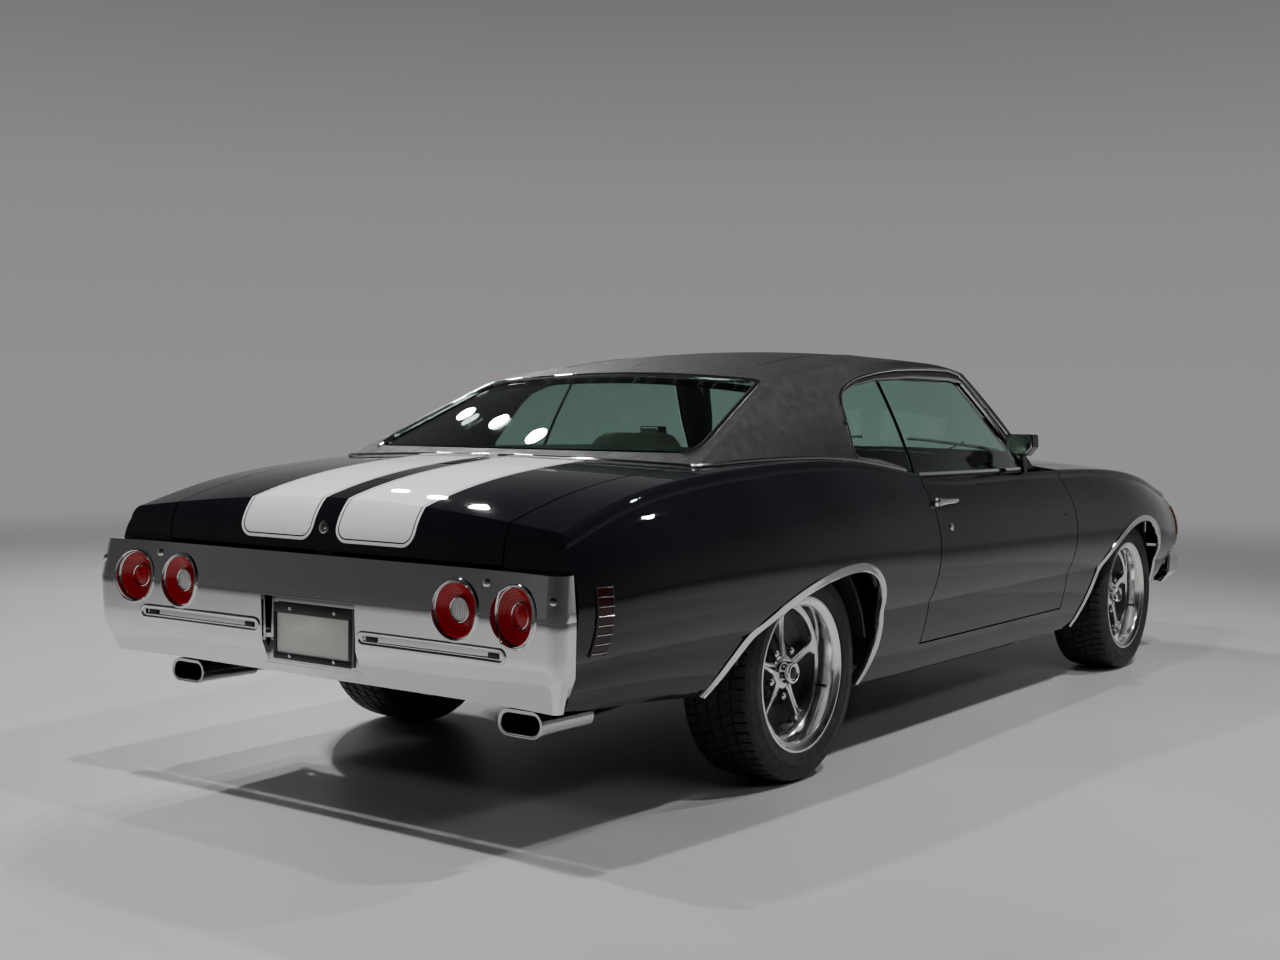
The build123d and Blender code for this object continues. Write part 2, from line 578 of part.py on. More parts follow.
def front_end(outer):
    """Nose panel with grille opening, grille, headlamps and front bumper."""
    half = HOOD_HALF_WIDTH - SEAT_CLEARANCE
    nose = (outer & block(2211, BODY_FRONT_X, -half, half, 512, 1000)) - (
        hull(SKIN) & block(2000, 2290, -2000, 2000, 0, 1100))
    opening = HEADLAMP_YS[1] - HEADLAMP_RADIUS - 14
    nose -= block(2250, 2400, -opening, opening, 548, 730)
    lamp_ys = [side * y for y in HEADLAMP_YS for side in (1, -1)]
    for y in lamp_ys:
        nose -= x_cylinder(2200, 2400, y, HEADLAMP_Z, HEADLAMP_RADIUS)
    nose = main_solid(nose)
    half = opening - SEAT_CLEARANCE
    grille = block(2288, 2302, -half, half, 550, 728)
    grille -= block(2280, 2320, -half + 12, half - 12, 562, 716)
    for i in range(GRILLE_BARS):
        z = 566 + i * 20.0
        grille += block(2290, 2310, -half + 2, half - 2, z, z + 7)
    headlamps = Compound([lamp_lens(2292, y, HEADLAMP_Z, HEADLAMP_RADIUS - SEAT_CLEARANCE, 14, 14, 1)
                          for y in lamp_ys])
    bumper = bumper_shell(FRONT_BUMPER_TABLE, BUMPER_INNER_X, 1)
    for y in (390, -390):
        bumper += block(2230.3, 2465, y - 20, y + 20, 362, 398)
    return nose, grille, headlamps, bumper


# ---------------------------------------------------------------- wheels
def wheel_axis(solid, x, side):
    """Places a wheel piece modelled around +Z, with its outer face up, at an axle end."""
    return Pos(x, side * WHEEL_CENTRE_Y, TYRE_RADIUS) * Rot(-90 * side, 0, 0) * solid


def tyre():
    """Plain tyre carcass with rounded shoulders."""
    w, r, bead = TYRE_WIDTH / 2, TYRE_RADIUS, RIM_BEAD_RADIUS + SEAT_CLEARANCE
    bw, lip = RIM_WIDTH / 2 - 13, RIM_LIP_RADIUS + 1
    profile = make_face([
        Line((bead, -bw), (bead, bw)),
        Line((bead, bw), (lip, bw + 4)),
        ThreePointArc((lip, bw + 4), (lip + 28, w), (r - 32, w - 6)),
        ThreePointArc((r - 32, w - 6), (r - 10, w - 14), (r - 3, w - 34)),
        ThreePointArc((r - 3, w - 34), (r, 0), (r - 3, -w + 34)),
        ThreePointArc((r - 3, -w + 34), (r - 10, -w + 14), (r - 32, -w + 6)),
        ThreePointArc((r - 32, -w + 6), (lip + 28, -w), (lip, -bw - 4)),
        Line((lip, -bw - 4), (bead, -bw)),
    ])
    return revolve(Plane.XZ * profile, Axis.Z)


def rim():
    """Deep-lipped rim with five spokes and a hub bored for the axle stub."""
    half = RIM_WIDTH / 2
    lip, bead, wall = RIM_LIP_RADIUS, RIM_BEAD_RADIUS, RIM_WALL
    barrel = make_face(Polyline(
        (lip, half), (lip, half - 8), (bead, half - 12), (bead, -half + 12), (lip - 4, -half + 8),
        (lip - 4, -half), (bead - wall, -half + 4), (bead - wall - 8, 0), (bead - wall, half - 10),
        (lip - 6, half), close=True))
    body = revolve(Plane.XZ * barrel, Axis.Z)
    face = half - WHEEL_DISH
    disc = Pos(0, 0, face - 42) * Cylinder(bead - wall + 2, 16)
    disc -= Pos(0, 0, face - 42) * Cylinder(bead - wall - 24, 16)
    body += disc
    hub = Pos(0, 0, face - 30) * Cylinder(HUB_RADIUS, 60)
    body += hub
    spoke_profile = make_face(Polyline(
        (20, -28), (bead - wall - 4, -38), (bead - wall - 4, 38), (20, 28), close=True))
    spoke = Pos(0, 0, face - 46) * extrude(spoke_profile, amount=34, taper=12)
    for i in range(SPOKE_COUNT):
        body += Rot(0, 0, 90 + i * 360 / SPOKE_COUNT) * spoke
    cap = Pos(0, 0, face + 12) * Cylinder(34, 26)
    body += cap
    body -= Pos(0, 0, face - 100) * Cylinder(AXLE_STUB_RADIUS + 0.08, 160)
    return body


def stub(from_y):
    """Axle stub of the left side, from the given place out into the wheel hub."""
    return rod((0, from_y, 0), (0, WHEEL_CENTRE_Y + STUB_END, 0), AXLE_STUB_RADIUS)


# ---------------------------------------------------------------- chassis
def rail_path(points, width, height):
    """Box rail of one side along a path."""
    path = FilletPolyline(*points, radius=90)
    section = Plane(origin=path @ 0, x_dir=(0, 0, 1), z_dir=path % 0) * Rectangle(height, width)
    return sweep(section, path=path, transition=Transition.RIGHT)


def frame():
    """Perimeter frame: two rails with kick-ups, crossmembers and spring towers."""
    left = rail_path([(2230, 390, 380), (1180, 390, 380), (820, 625, 209.7), (-700, 625, 209.7),
                      (-1000, 500, 340), (-1120, 500, 455), (-1600, 500, 455), (-2260, 500, 440)], 56, 76)
    body = left + mirror_y(left)
    for x, y, z0, z1 in ((2170, 380, 350, 400), (FRONT_AXLE_X, 395, 260, 350), (-2230, 490, 410, 465)):
        body += block(x - 40, x + 40, -y, y, z0, z1)
    body += block(FRONT_AXLE_X - 60, FRONT_AXLE_X + 60, -300, 300, 205.3, 262)
    for side in (1, -1):
        y0, y1 = sorted((side * 400, side * 440))
        body += block(FRONT_AXLE_X - 50, FRONT_AXLE_X + 50, y0, y1, 380, 430.7)
        for x in (640.0, -620.0):
            y0, y1 = sorted((side * 330, side * 620))
            body += block(x - 45, x + 45, y0, y1, 175, 212)
    return body


def front_arms():
    """Upper and lower control arms of the left side, bored for the knuckle's pins."""
    arms = None
    for z, inner, wide in ((196.0, 250.0, 105.0), (440.0, 425.0, 80.0)):
        profile = make_face(Polyline((-wide, inner), (wide, inner), (30, KINGPIN_Y - 10), (30, KINGPIN_Y + 22),
                                     (-30, KINGPIN_Y + 22), (-30, KINGPIN_Y - 10), close=True))
        arm = Pos(FRONT_AXLE_X, 0, z - 9) * extrude(profile, amount=18)
        arm -= Pos(FRONT_AXLE_X, KINGPIN_Y, z) * Cylinder(12.08, 60)
        arms = arm if arms is None else arms + arm
    return arms


def knuckle():
    """Left knuckle: upright, two pins and the stub axle."""
    body = Pos(FRONT_AXLE_X, KINGPIN_Y, 318) * Cylinder(27, 440 - 9 - 5 - 196 - 9 - 5)
    body += Pos(FRONT_AXLE_X, KINGPIN_Y, 318) * Cylinder(12, 440 - 196 + 22)
    body += Pos(FRONT_AXLE_X, 0, TYRE_RADIUS) * stub(KINGPIN_Y)
    return body


def rear_axle():
    """Live axle: tube, differential and brake drums."""
    body = rod((REAR_AXLE_X, -610, TYRE_RADIUS), (REAR_AXLE_X, 610, TYRE_RADIUS), 41)
    body += Pos(REAR_AXLE_X, 0, TYRE_RADIUS) * Sphere(132)
    body += rod((REAR_AXLE_X, 0, TYRE_RADIUS), (REAR_AXLE_X + 190, 0, TYRE_RADIUS - 20), 52)
    for side in (1, -1):
        body += rod((REAR_AXLE_X, side * 606, TYRE_RADIUS), (REAR_AXLE_X, side * 668, TYRE_RADIUS), 128)
        body += rod((REAR_AXLE_X, side * 500, TYRE_RADIUS), (REAR_AXLE_X, side * 500, 413), 22)
        s = Pos(REAR_AXLE_X, 0, TYRE_RADIUS) * stub(600)
        body += s if side > 0 else mirror_y(s)
    return body


def exhaust():
    """Twin exhaust: pipe, muffler and oval tip on each side."""
    path = FilletPolyline((1000, 250, 200), (400, 250, 168), (-760, 250, 168), (-1090, 400, 190),
                          (-1180, 420, 412), (-1460, 430, 412), (-1750, 560, 300), (-2180, TIP_Y, TIP_Z), radius=50)
    pipe = sweep(Plane(origin=path @ 0, z_dir=path % 0) * Circle(29), path=path)
    muffler = Pos(-380, 250, 168) * Rot(0, 90, 0) * extrude(Ellipse(52, 105), amount=460)
    tip_section = Plane(origin=(-2150, TIP_Y, TIP_Z), x_dir=(0, 1, 0), z_dir=(-1, 0, 0))
    tip = extrude(tip_section * SlotOverall(142, 64), amount=212)
    tip -= extrude(tip_section.offset(40) * SlotOverall(134, 56), amount=212)
    hanger = block(-1330, -1300, 430, 466.5, 404, 440)
    one = pipe + muffler + tip + hanger
    return Compound([one, mirror_y(one)])


def wheel_ring(x, radius, wall, y0, y1):
    """Round wheel house over one axle end, from y0 out to y1."""
    ring = Pos(x, 0, TYRE_RADIUS) * Rot(90, 0, 0) * (Cylinder(radius + wall, 2000) - Cylinder(radius, 2002))
    return ring & block(-3000, 3000, y0, y1, 400, 1000)


def arched_plate(x0, x1, half, z0, z_side, z_mid):
    """Upright plate across the car whose top edge is crowned."""
    face = make_face([
        Line((-half, z_side), (-half, z0)),
        Line((-half, z0), (half, z0)),
        Line((half, z0), (half, z_side)),
        ThreePointArc((half, z_side), (0, z_mid), (-half, z_side)),
    ])
    return Pos(x0, 0, 0) * extrude(Plane.YZ * face, amount=x1 - x0)


def pillar_plate(x0, x1, outline):
    """Upright plate across the end of a door opening, on the left side."""
    return Pos(x0, 0, 0) * extrude(Plane.YZ * make_face(Polyline(*outline, close=True)), amount=x1 - x0)


def side_cylinder(x, radius, y0, y1):
    """Cylinder across the car at axle height."""
    return Pos(x, (y0 + y1) / 2, TYRE_RADIUS) * Rot(90, 0, 0) * Cylinder(radius, y1 - y0)


def floor_pan():
    """Cabin floor with tunnel, seat step, firewall and bulkhead, then the boot floor with the tail panel."""
    t, c = FLOOR_THICKNESS, SEAT_CLEARANCE
    floor_side = make_face(Polyline(
        (CABIN_FRONT_X, FLOOR_Z), (SEAT_RISER_X, FLOOR_Z), (SEAT_RISER_X, PLATFORM_Z), (CABIN_REAR_X - t, PLATFORM_Z),
        (CABIN_REAR_X - t, PLATFORM_Z - t), (SEAT_RISER_X - t, PLATFORM_Z - t), (SEAT_RISER_X - t, FLOOR_Z - t),
        (CABIN_FRONT_X, FLOOR_Z - t), close=True))
    pan = Pos(0, -SILL_Y, 0) * extrude(Plane.XZ * floor_side, amount=-2 * SILL_Y)
    pan += (Pos(0, 0, FLOOR_Z - t) * Rot(0, 90, 0) * Cylinder(132, 4000)) & block(
        SEAT_RISER_X, CABIN_FRONT_X, -200, 200, FLOOR_Z - t, 600)
    pan += arched_plate(CABIN_FRONT_X - t, CABIN_FRONT_X, SILL_Y, FLOOR_Z - t, 900, 946)
    pan -= Pos(0, 0, FLOOR_Z - t - 1) * Rot(0, 90, 0) * Cylinder(118, 4002)
    pan += arched_plate(CABIN_REAR_X - t, CABIN_REAR_X, SILL_Y, PLATFORM_Z - t, 956, 975)
    house_room = side_cylinder(REAR_AXLE_X, REAR_HOUSE_RADIUS + t, REAR_HOUSE_Y - c, 900)
    pan -= house_room
    pan -= mirror_y(house_room)
    for y in (500, -500):
        pan -= block(CABIN_REAR_X - 150, CABIN_REAR_X + 100, y - 40, y + 40, 0, 510)
    y = REAR_HOUSE_Y - c
    boot = block(-2382, CABIN_REAR_X - t - c, -y, y, 530, 530 + t)
    boot += block(TAIL_PANEL_X, TAIL_PANEL_X + t, -760, 760, 484, 690)
    boot += block(BODY_REAR_X + SKIN + c, TAIL_PANEL_X + 2, -30, 30, 640, 745)
    return Compound([pan, boot])


def inner_sides():
    """Inner side panels with the hinge and lock pillars, and the rear wheel houses."""
    t, c = FLOOR_THICKNESS, SEAT_CLEARANCE
    y0, y1 = SILL_Y - t, SILL_Y - 0.1
    rear = side_prism([
        (CABIN_REAR_X + c, PLATFORM_Z + c), (SEAT_RISER_X + c, PLATFORM_Z + c), (SEAT_RISER_X + c, FLOOR_Z + c),
        (DOOR_REAR_X - GAP - 2, FLOOR_Z + c), (DOOR_REAR_X - GAP - 2, 902), (CABIN_REAR_X + c, 902)], y0, y1)
    rear += pillar_plate(DOOR_REAR_X - GAP - t, DOOR_REAR_X - GAP, LOCK_PILLAR)
    rear -= side_cylinder(REAR_AXLE_X, REAR_HOUSE_RADIUS + t, REAR_HOUSE_Y - c, 900)
    front = block(CABIN_FRONT_X + c, DOOR_FRONT_X + 20, y0, y1, FLOOR_Z - t, 893)
    front += pillar_plate(DOOR_FRONT_X + 9, DOOR_FRONT_X + 21, HINGE_PILLAR)
    house_shell = side_cylinder(REAR_AXLE_X, REAR_HOUSE_RADIUS + 12, REAR_HOUSE_Y, REAR_HOUSE_EDGE_Y)
    house_shell -= side_cylinder(REAR_AXLE_X, REAR_HOUSE_RADIUS, REAR_HOUSE_Y + 12, 1000)
    house_shell &= block(-3000, 0, 0, 1000, 400, 1000)
    sides = [rear, front, house_shell]
    return Compound(sides + [mirror_y(piece) for piece in sides])


def inner_fenders():
    """Front wheel liners, engine bay aprons and radiator support with two hood stops."""
    liner = wheel_ring(FRONT_AXLE_X, LINER_RADIUS, 8, APRON_Y + 4, LINER_EDGE_Y)
    liner -= block(0, DOOR_FRONT_X + 90, 0, 1000, 0, 1000)
    side = liner + side_prism(APRON_OUTLINE, APRON_Y, APRON_Y + 8)
    side -= block(FRONT_AXLE_X - 100, FRONT_AXLE_X + 100, APRON_Y - 20, APRON_Y + 20, 400, 456)
    body = side + mirror_y(side)
    body += arched_plate(2176, 2190, 670, 425, 776, 826) - block(2100, 2300, -330, 330, 440, 740)
    stop = Pos(2183, 0, 790) * Cylinder(12, 200)
    top = hull(SKIN + SEAT_CLEARANCE)
    for y in (520, -520):
        body += (Pos(0, y, 0) * stop) & top
    return body


def door_hinges():
    """Hinge arms and pins of both doors, fixed to the hinge pillars."""
    x, y = DOOR_FRONT_X - DOOR_HINGE_INSET_X, DOOR_HINGE_Y
    arms = []
    for z in DOOR_HINGE_ZS:
        arm = block(x - 10, x + 10, SILL_Y + SEAT_CLEARANCE, y, z - 14, z + 14)
        arm += block(x - 10, x + 40, SILL_Y + SEAT_CLEARANCE, SILL_Y + 8, z - 14, z + 14)
        arm += Pos(x, y, z) * Cylinder(14, 28)
        arm += Pos(x, y, z) * Cylinder(HINGE_PIN_RADIUS, 80)
        arms += [arm, mirror_y(arm)]
    return Compound(arms)


def seats():
    """Two front buckets and the rear bench."""
    def bucket(y):
        base = block(-330, 190, y - 250, y + 250, 340, 470)
        base = fillet(base.edges().filter_by(Axis.Z), 50)
        back = block(-60, 60, y - 245, y + 245, 0, 620)
        back = fillet(back.edges().filter_by(Axis.X), 60)
        back = Pos(-320, 0, 440) * Rot(0, -20, 0) * back
        foot = block(-280, 150, y - 200, y + 200, FLOOR_Z + SEAT_CLEARANCE, 345)
        return base + back + foot
    front = Compound([bucket(345), bucket(-345)])
    cushion = block(-900, SEAT_RISER_X, -560, 560, PLATFORM_Z + SEAT_CLEARANCE, 500)
    back = Pos(-850, 0, 455) * Rot(0, -14, 0) * block(-55, 55, -555, 555, 0, 430)
    rear = cushion + back
    return front, rear


def dashboard():
    """Dash panel and steering column."""
    face = make_face(Polyline((560, 880), (470, 868), (430, 800), (452, 660), (560, 640), (690.7, 700),
                              (690.7, 880), close=True))
    dash = Pos(0, -700, 0) * extrude(Plane.XZ * face, amount=-1400)
    dash += rod((520, 345, 745), (262, 345, 842), 27)
    return dash


def steering_wheel():
    """Three-spoke wheel on the column."""
    ring = Torus(178, 13)
    for a in (90, 210, 330):
        ring += Rot(0, 0, a) * Pos(89, 0, 0) * Box(172, 26, 8)
    ring += Cylinder(34, 30)
    axis = Vector(262 - 520, 0, 842 - 745).normalized()
    plane = Plane(origin=Vector(262, 345, 842) + axis * 15.4, z_dir=axis)
    return plane * ring


def mirror_and_handle():
    """Door mirror and outside handle of the left door."""
    face = make_face(Polyline((-56, -8), (-53, 40), (53, 40), (56, -8), (27, -42), (-27, -42), close=True))
    face = fillet(face.vertices(), 9)
    head = Pos(312, 868, 1007) * extrude(Plane.YZ * face, amount=52)
    foot = rod((436, 842, DOOR_TOP_Z - 30), (346, 864, 985), 12)
    mirror_piece = (head + foot) - block(300, 600, 700, 1000, 700, DOOR_TOP_Z + SEAT_CLEARANCE)
    handle = block(-488, -306, 880, 946, 806, 830) - hull(-SEAT_CLEARANCE)
    return main_solid(mirror_piece), main_solid(handle)


def driveline():
    """Gearbox behind the engine and the shaft to the axle."""
    box = rod((1090, 0, 330), (960, 0, 310), 150) + rod((970, 0, 300), (420, 0, 285), 60)
    return box, rod((418, 0, 285), (-1099, 0, TYRE_RADIUS - 20), 36)


# ---------------------------------------------------------------- export
def export_all():
    os.makedirs(OUT, exist_ok=True)
    outer = hull(0)
    quarter, door, rocker, fender, hood, lid, cowl, deck = body_panels(outer)
    roof, windshield, rear_glass, quarter_glass, door_glass = roof_and_glass(outer)
    bumper, tail_lamps, plate = rear_bumper_and_lamps()
    nose, grille, headlamps, front_bumper = front_end(outer)
    front_seats, rear_seat = seats()
    arms = front_arms()
    gearbox, shaft = driveline()
    nodes = {
        "roof": roof, "windshield": windshield, "rear_window": rear_glass,
        "hood": main_solid(hood), "boot_lid": main_solid(lid), "cowl_panel": main_solid(cowl),
        "deck_panel": main_solid(deck),
        "rear_bumper": bumper, "tail_lamps": tail_lamps, "number_plate": plate,
        "nose_panel": nose, "grille": grille, "headlamps": headlamps, "front_bumper": front_bumper,
        "floor_pan": floor_pan(), "inner_sides": inner_sides(), "frame": frame(),
        "rear_axle": rear_axle(), "exhaust": exhaust(),
        "front_arms": Compound([arms, mirror_y(arms)]),
        "engine_block": block(1080, 1720, -230, 230, 350.3, 780) + gearbox, "driveshaft": shaft,
        "inner_fenders": inner_fenders(), "door_hinges": door_hinges(),
        "fuel_tank": block(-2180, -1760, -360, 360, 350, 529.7),
        "front_seats": front_seats, "rear_seat": rear_seat, "dashboard": dashboard(),
        "steering_wheel": steering_wheel(),
    }
    for name, piece in (("quarter_panels", main_solid(quarter)), ("rockers", main_solid(rocker)),
                        ("fenders", main_solid(fender)), ("quarter_glass", quarter_glass)):
        nodes[name] = Compound([piece, mirror_y(piece)])
    mirror_piece, handle = mirror_and_handle()
    for name, piece in (("door", main_solid(door)), ("door_glass", door_glass), ("knuckle", knuckle()),
                        ("door_mirror", mirror_piece)):
        nodes[name + "_left"] = piece
        nodes[name + "_right"] = mirror_y(piece)
    nodes["door_handle_left"], nodes["door_handle_right"] = handle, mirror_y(handle)
    tyre_shape, rim_shape = tyre(), rim()
    for end, x in (("front", FRONT_AXLE_X), ("rear", REAR_AXLE_X)):
        for side, sign in (("left", 1), ("right", -1)):
            nodes[f"tyre_{end}_{side}"] = wheel_axis(tyre_shape, x, sign)
            nodes[f"rim_{end}_{side}"] = wheel_axis(rim_shape, x, sign)
    for name, shape in nodes.items():
        export_step(shape, f"{OUT}/{name}.step")


export_all()
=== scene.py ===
"""Two-door coupe: materials, trim, tyres, wheels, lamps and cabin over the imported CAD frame."""

import math

import bmesh
import bpy
from mathutils import Matrix, Vector
from mathutils.bvhtree import BVHTree


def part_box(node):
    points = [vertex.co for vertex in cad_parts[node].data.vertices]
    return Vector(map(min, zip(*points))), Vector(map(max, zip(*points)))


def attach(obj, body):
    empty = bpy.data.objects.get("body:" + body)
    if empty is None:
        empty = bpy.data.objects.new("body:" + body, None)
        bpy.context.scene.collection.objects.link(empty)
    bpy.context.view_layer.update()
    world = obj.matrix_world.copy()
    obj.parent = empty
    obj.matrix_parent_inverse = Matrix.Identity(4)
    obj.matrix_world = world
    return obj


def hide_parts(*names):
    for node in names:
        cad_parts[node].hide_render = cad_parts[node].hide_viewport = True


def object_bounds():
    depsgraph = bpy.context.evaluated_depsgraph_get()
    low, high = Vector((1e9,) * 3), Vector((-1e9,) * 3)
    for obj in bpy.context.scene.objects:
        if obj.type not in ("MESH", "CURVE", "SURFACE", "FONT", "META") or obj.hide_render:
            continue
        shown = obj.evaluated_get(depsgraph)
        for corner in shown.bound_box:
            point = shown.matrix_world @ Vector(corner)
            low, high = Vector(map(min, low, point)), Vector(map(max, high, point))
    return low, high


bl_info = {
    "name": "Two-door coupe dressing",
    "version": (1, 0, 0),
    "blender": (4, 5, 0),
    "location": "View3D > Sidebar > Coupe",
    "description": "Adds finishes, trim, tyres, wheels, lamps and cabin pieces to the coupe",
    "category": "Object",
}

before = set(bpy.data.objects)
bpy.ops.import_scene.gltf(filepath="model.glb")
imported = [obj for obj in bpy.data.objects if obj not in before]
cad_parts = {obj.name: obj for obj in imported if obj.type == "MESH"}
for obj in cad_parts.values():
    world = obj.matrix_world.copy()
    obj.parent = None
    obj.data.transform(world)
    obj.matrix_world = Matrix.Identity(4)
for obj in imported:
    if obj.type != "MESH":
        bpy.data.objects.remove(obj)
CAD_BOX = [list(corner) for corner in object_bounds()]

# Where things are, in metres. X forward, Y left, Z up.
AXLE_REAR_X = -1.293
AXLE_FRONT_X = 1.552
AXLE_Z = 0.327
WHEEL_Y = 0.754
WIDEST = CAD_BOX[1][1] - 0.0001
SIDES = ((1, "left"), (-1, "right"))   # sign of Y and name of each side


# ---------------------------------------------------------------- sizes and colours


def colour_setting(name, description, default):
    return bpy.props.FloatVectorProperty(name=name, description=description, subtype="COLOR", size=3,
                                         min=0.0, max=1.0, default=default)


class CoupePaint(bpy.types.PropertyGroup):
    """Colours of the body"""

    body: colour_setting("Body colour", "Base colour of the painted panels", (0.0045, 0.0050, 0.0065))
    roof: colour_setting("Roof colour", "Colour of the vinyl roof cover", (0.0105, 0.0105, 0.0125))
    stripe: colour_setting("Stripe colour", "Colour of the boot-lid and hood stripes", (0.82, 0.82, 0.82))
    seats: colour_setting("Seat colour", "Colour of the seat covers", (0.60, 0.57, 0.49))


class CoupeWheels(bpy.types.PropertyGroup):
    """Sizes of the wheels and tyres"""

    tyre_radius: bpy.props.FloatProperty(
        name="Tyre radius", description="Radius over the tread", default=0.3268, unit="LENGTH")
    groove_depth: bpy.props.FloatProperty(
        name="Groove depth", description="Depth of the tread grooves", default=0.0065, unit="LENGTH")
    spoke_count: bpy.props.IntProperty(
        name="Spokes", description="Number of spokes in each wheel", default=5, min=3, max=12)


# ---------------------------------------------------------------- finishes


class Wiring:
    """Short ways to add nodes to a tree and to link them."""

    def __init__(self, tree, coordinates="Object"):
        self.tree = tree
        self.place = tree.nodes.new("ShaderNodeTexCoord").outputs[coordinates]

    def put(self, socket, value):
        """Links a socket to an output, or gives it a value."""
        if isinstance(value, bpy.types.NodeSocket):
            self.tree.links.new(value, socket)
        else:
            socket.default_value = value

    def node(self, kind, **settings):
        made = self.tree.nodes.new("ShaderNode" + kind)
        for key, value in settings.items():
            socket = key.replace("_", " ")
            if socket in made.inputs:
                self.put(made.inputs[socket], value)
            else:
                setattr(made, key, value)
        return made

    def noise(self, scale, detail, roughness=0.5, place=None):
        return self.node("TexNoise", Scale=scale, Detail=detail, Roughness=roughness,
                         Vector=place or self.place).outputs["Fac"]

    def cells(self, scale, randomness):
        return self.node("TexVoronoi", Scale=scale, Randomness=randomness,
                         Vector=self.place).outputs["Distance"]

    def ramp(self, value, stops):
        made = self.node("ValToRGB", Fac=value)
        band = made.color_ramp
        while len(band.elements) < len(stops):
            band.elements.new(0.5)
        for element, (position, colour) in zip(band.elements, stops):
            element.position = position
            if isinstance(colour, (int, float)):
                colour = (colour, colour, colour)
            element.color = (*colour, 1.0)
        return made.outputs["Color"]

    def reckon(self, kind, operation, *values):
        """The outputs of a Math or a VectorMath node."""
        made = self.node(kind, operation=operation)
        for socket, value in zip(made.inputs, values):
            self.put(socket, value)
        return made.outputs

    def math(self, operation, *values):
        return self.reckon("Math", operation, *values)[0]

    def split(self, place=None):
        return self.node("SeparateXYZ", Vector=place or self.place).outputs

    def mix(self, share, a, b):
        """A mix of two colours, which are inputs 6 and 7 and output 2 of the node."""
        made = self.node("Mix", data_type="RGBA")
        for index, value in ((0, share), (6, a), (7, b)):
            self.put(made.inputs[index], value)
        return made.outputs[2]


class Finish(Wiring):
    """A principled material."""

    def __init__(self, name, colour, roughness, metallic=0.0, **sockets):
        self.material = bpy.data.materials.new(name)
        self.material.use_nodes = True
        super().__init__(self.material.node_tree)
        self.shader = self.tree.nodes["Principled BSDF"]
        sockets.update(Base_Color=(*colour, 1.0), Roughness=roughness, Metallic=metallic)
        for socket, value in sockets.items():
            self.shader.inputs[socket.replace("_", " ")].default_value = value

    def feed(self, socket, value):
        self.tree.links.new(value, self.shader.inputs[socket])

    def vary(self, socket, value, *stops):
        """Feeds a socket from a ramp over a value."""
        self.feed(socket, self.ramp(value, stops))

    def bump(self, height, strength, distance):
        """Adds relief on top of the relief there is."""
        made = self.node("Bump", Height=height, Strength=strength, Distance=distance)
        links = self.shader.inputs["Normal"].links
        if links:
            self.tree.links.new(links[0].from_socket, made.inputs["Normal"])
        self.feed("Normal", made.outputs["Normal"])


def hue(property_name):
    return tuple(getattr(bpy.context.scene.coupe_paint, property_name))


def shade(colour, factor):
    return tuple(min(1.0, c * factor) for c in colour)


STRIPE_Y = 0.195                 # middle of each stripe
STRIPE_HALF_WIDTH = 0.150
STRIPE_CORNER = 0.045            # radius of its corners
STRIPE_LINE = (0.0085, 0.0125)   # from the border in, where its dark line starts and stops
LID_STRIPE_END_Z = 0.745


def start_paint(name):
    """Clear-coated body paint, and its dark colour, still to be fed in."""
    base = hue("body")
    made = Finish(name, base, 0.22, Coat_Weight=1.0, Coat_Roughness=0.02, Specular_IOR_Level=0.0)
    made.vary("Roughness", made.noise(9.0, 5.0), (0.3, 0.18), (0.8, 0.30))
    made.bump(made.noise(420.0, 2.0), 0.05, 0.0006)
    return made, made.ramp(made.noise(2.2, 4.0), [(0.35, base), (0.75, shade(base, 1.7))])


def make_paint():
    made, dark = start_paint("gloss_black_paint")
    made.feed("Base Color", dark)


def make_striped_paint(name, end_z=None):
    """The body paint with two long stripes, each with a fine dark line just inside its border.

    With end_z the stripes end at that height, in round corners, and show on rear faces too.
    """
    made, dark = start_paint(name)
    place = made.split()
    off = made.math("ABSOLUTE", made.math("SUBTRACT", made.math("ABSOLUTE", place["Y"]), STRIPE_Y))
    across = made.math("MAXIMUM", made.math("SUBTRACT", off, STRIPE_HALF_WIDTH - STRIPE_CORNER), 0.0)
    if end_z is None:
        reach = across
    else:
        short = made.math("MAXIMUM", made.math("SUBTRACT", end_z + STRIPE_CORNER, place["Z"]), 0.0)
        squares = [made.math("MULTIPLY", value, value) for value in (across, short)]
        reach = made.math("POWER", made.math("ADD", *squares), 0.5)
    inside = made.math("SUBTRACT", STRIPE_CORNER, reach)
    white = made.math("GREATER_THAN", inside, 0.0)
    line = made.math("MULTIPLY", made.math("GREATER_THAN", inside, STRIPE_LINE[0]),
                     made.math("LESS_THAN", inside, STRIPE_LINE[1]))
    facing = made.split(made.place.node.outputs["Normal"])
    outer = made.math("SUBTRACT", facing["Z"], 0.0 if end_z is None else facing["X"])
    mask = made.math("MULTIPLY", made.math("SUBTRACT", white, line),
                     made.math("GREATER_THAN", outer, 0.0))
    pale = made.ramp(made.noise(3.0, 4.0), [(0.3, shade(hue("stripe"), 0.94)), (0.75, hue("stripe"))])
    made.feed("Base Color", made.mix(mask, dark, pale))


def make_vinyl():
    base = hue("roof")
    made = Finish("vinyl_roof_cover", base, 0.62, Specular_IOR_Level=0.14)
    made.vary("Base Color", made.noise(7.0, 6.0), (0.3, shade(base, 0.8)), (0.8, shade(base, 1.35)))
    made.vary("Roughness", made.noise(26.0, 4.0), (0.3, 0.50), (0.8, 0.70))
    pores = made.math("MULTIPLY", made.noise(1500.0, 2.0), 0.4)
    made.bump(made.math("ADD", made.cells(620.0, 0.9), pores), 0.5, 0.0006)


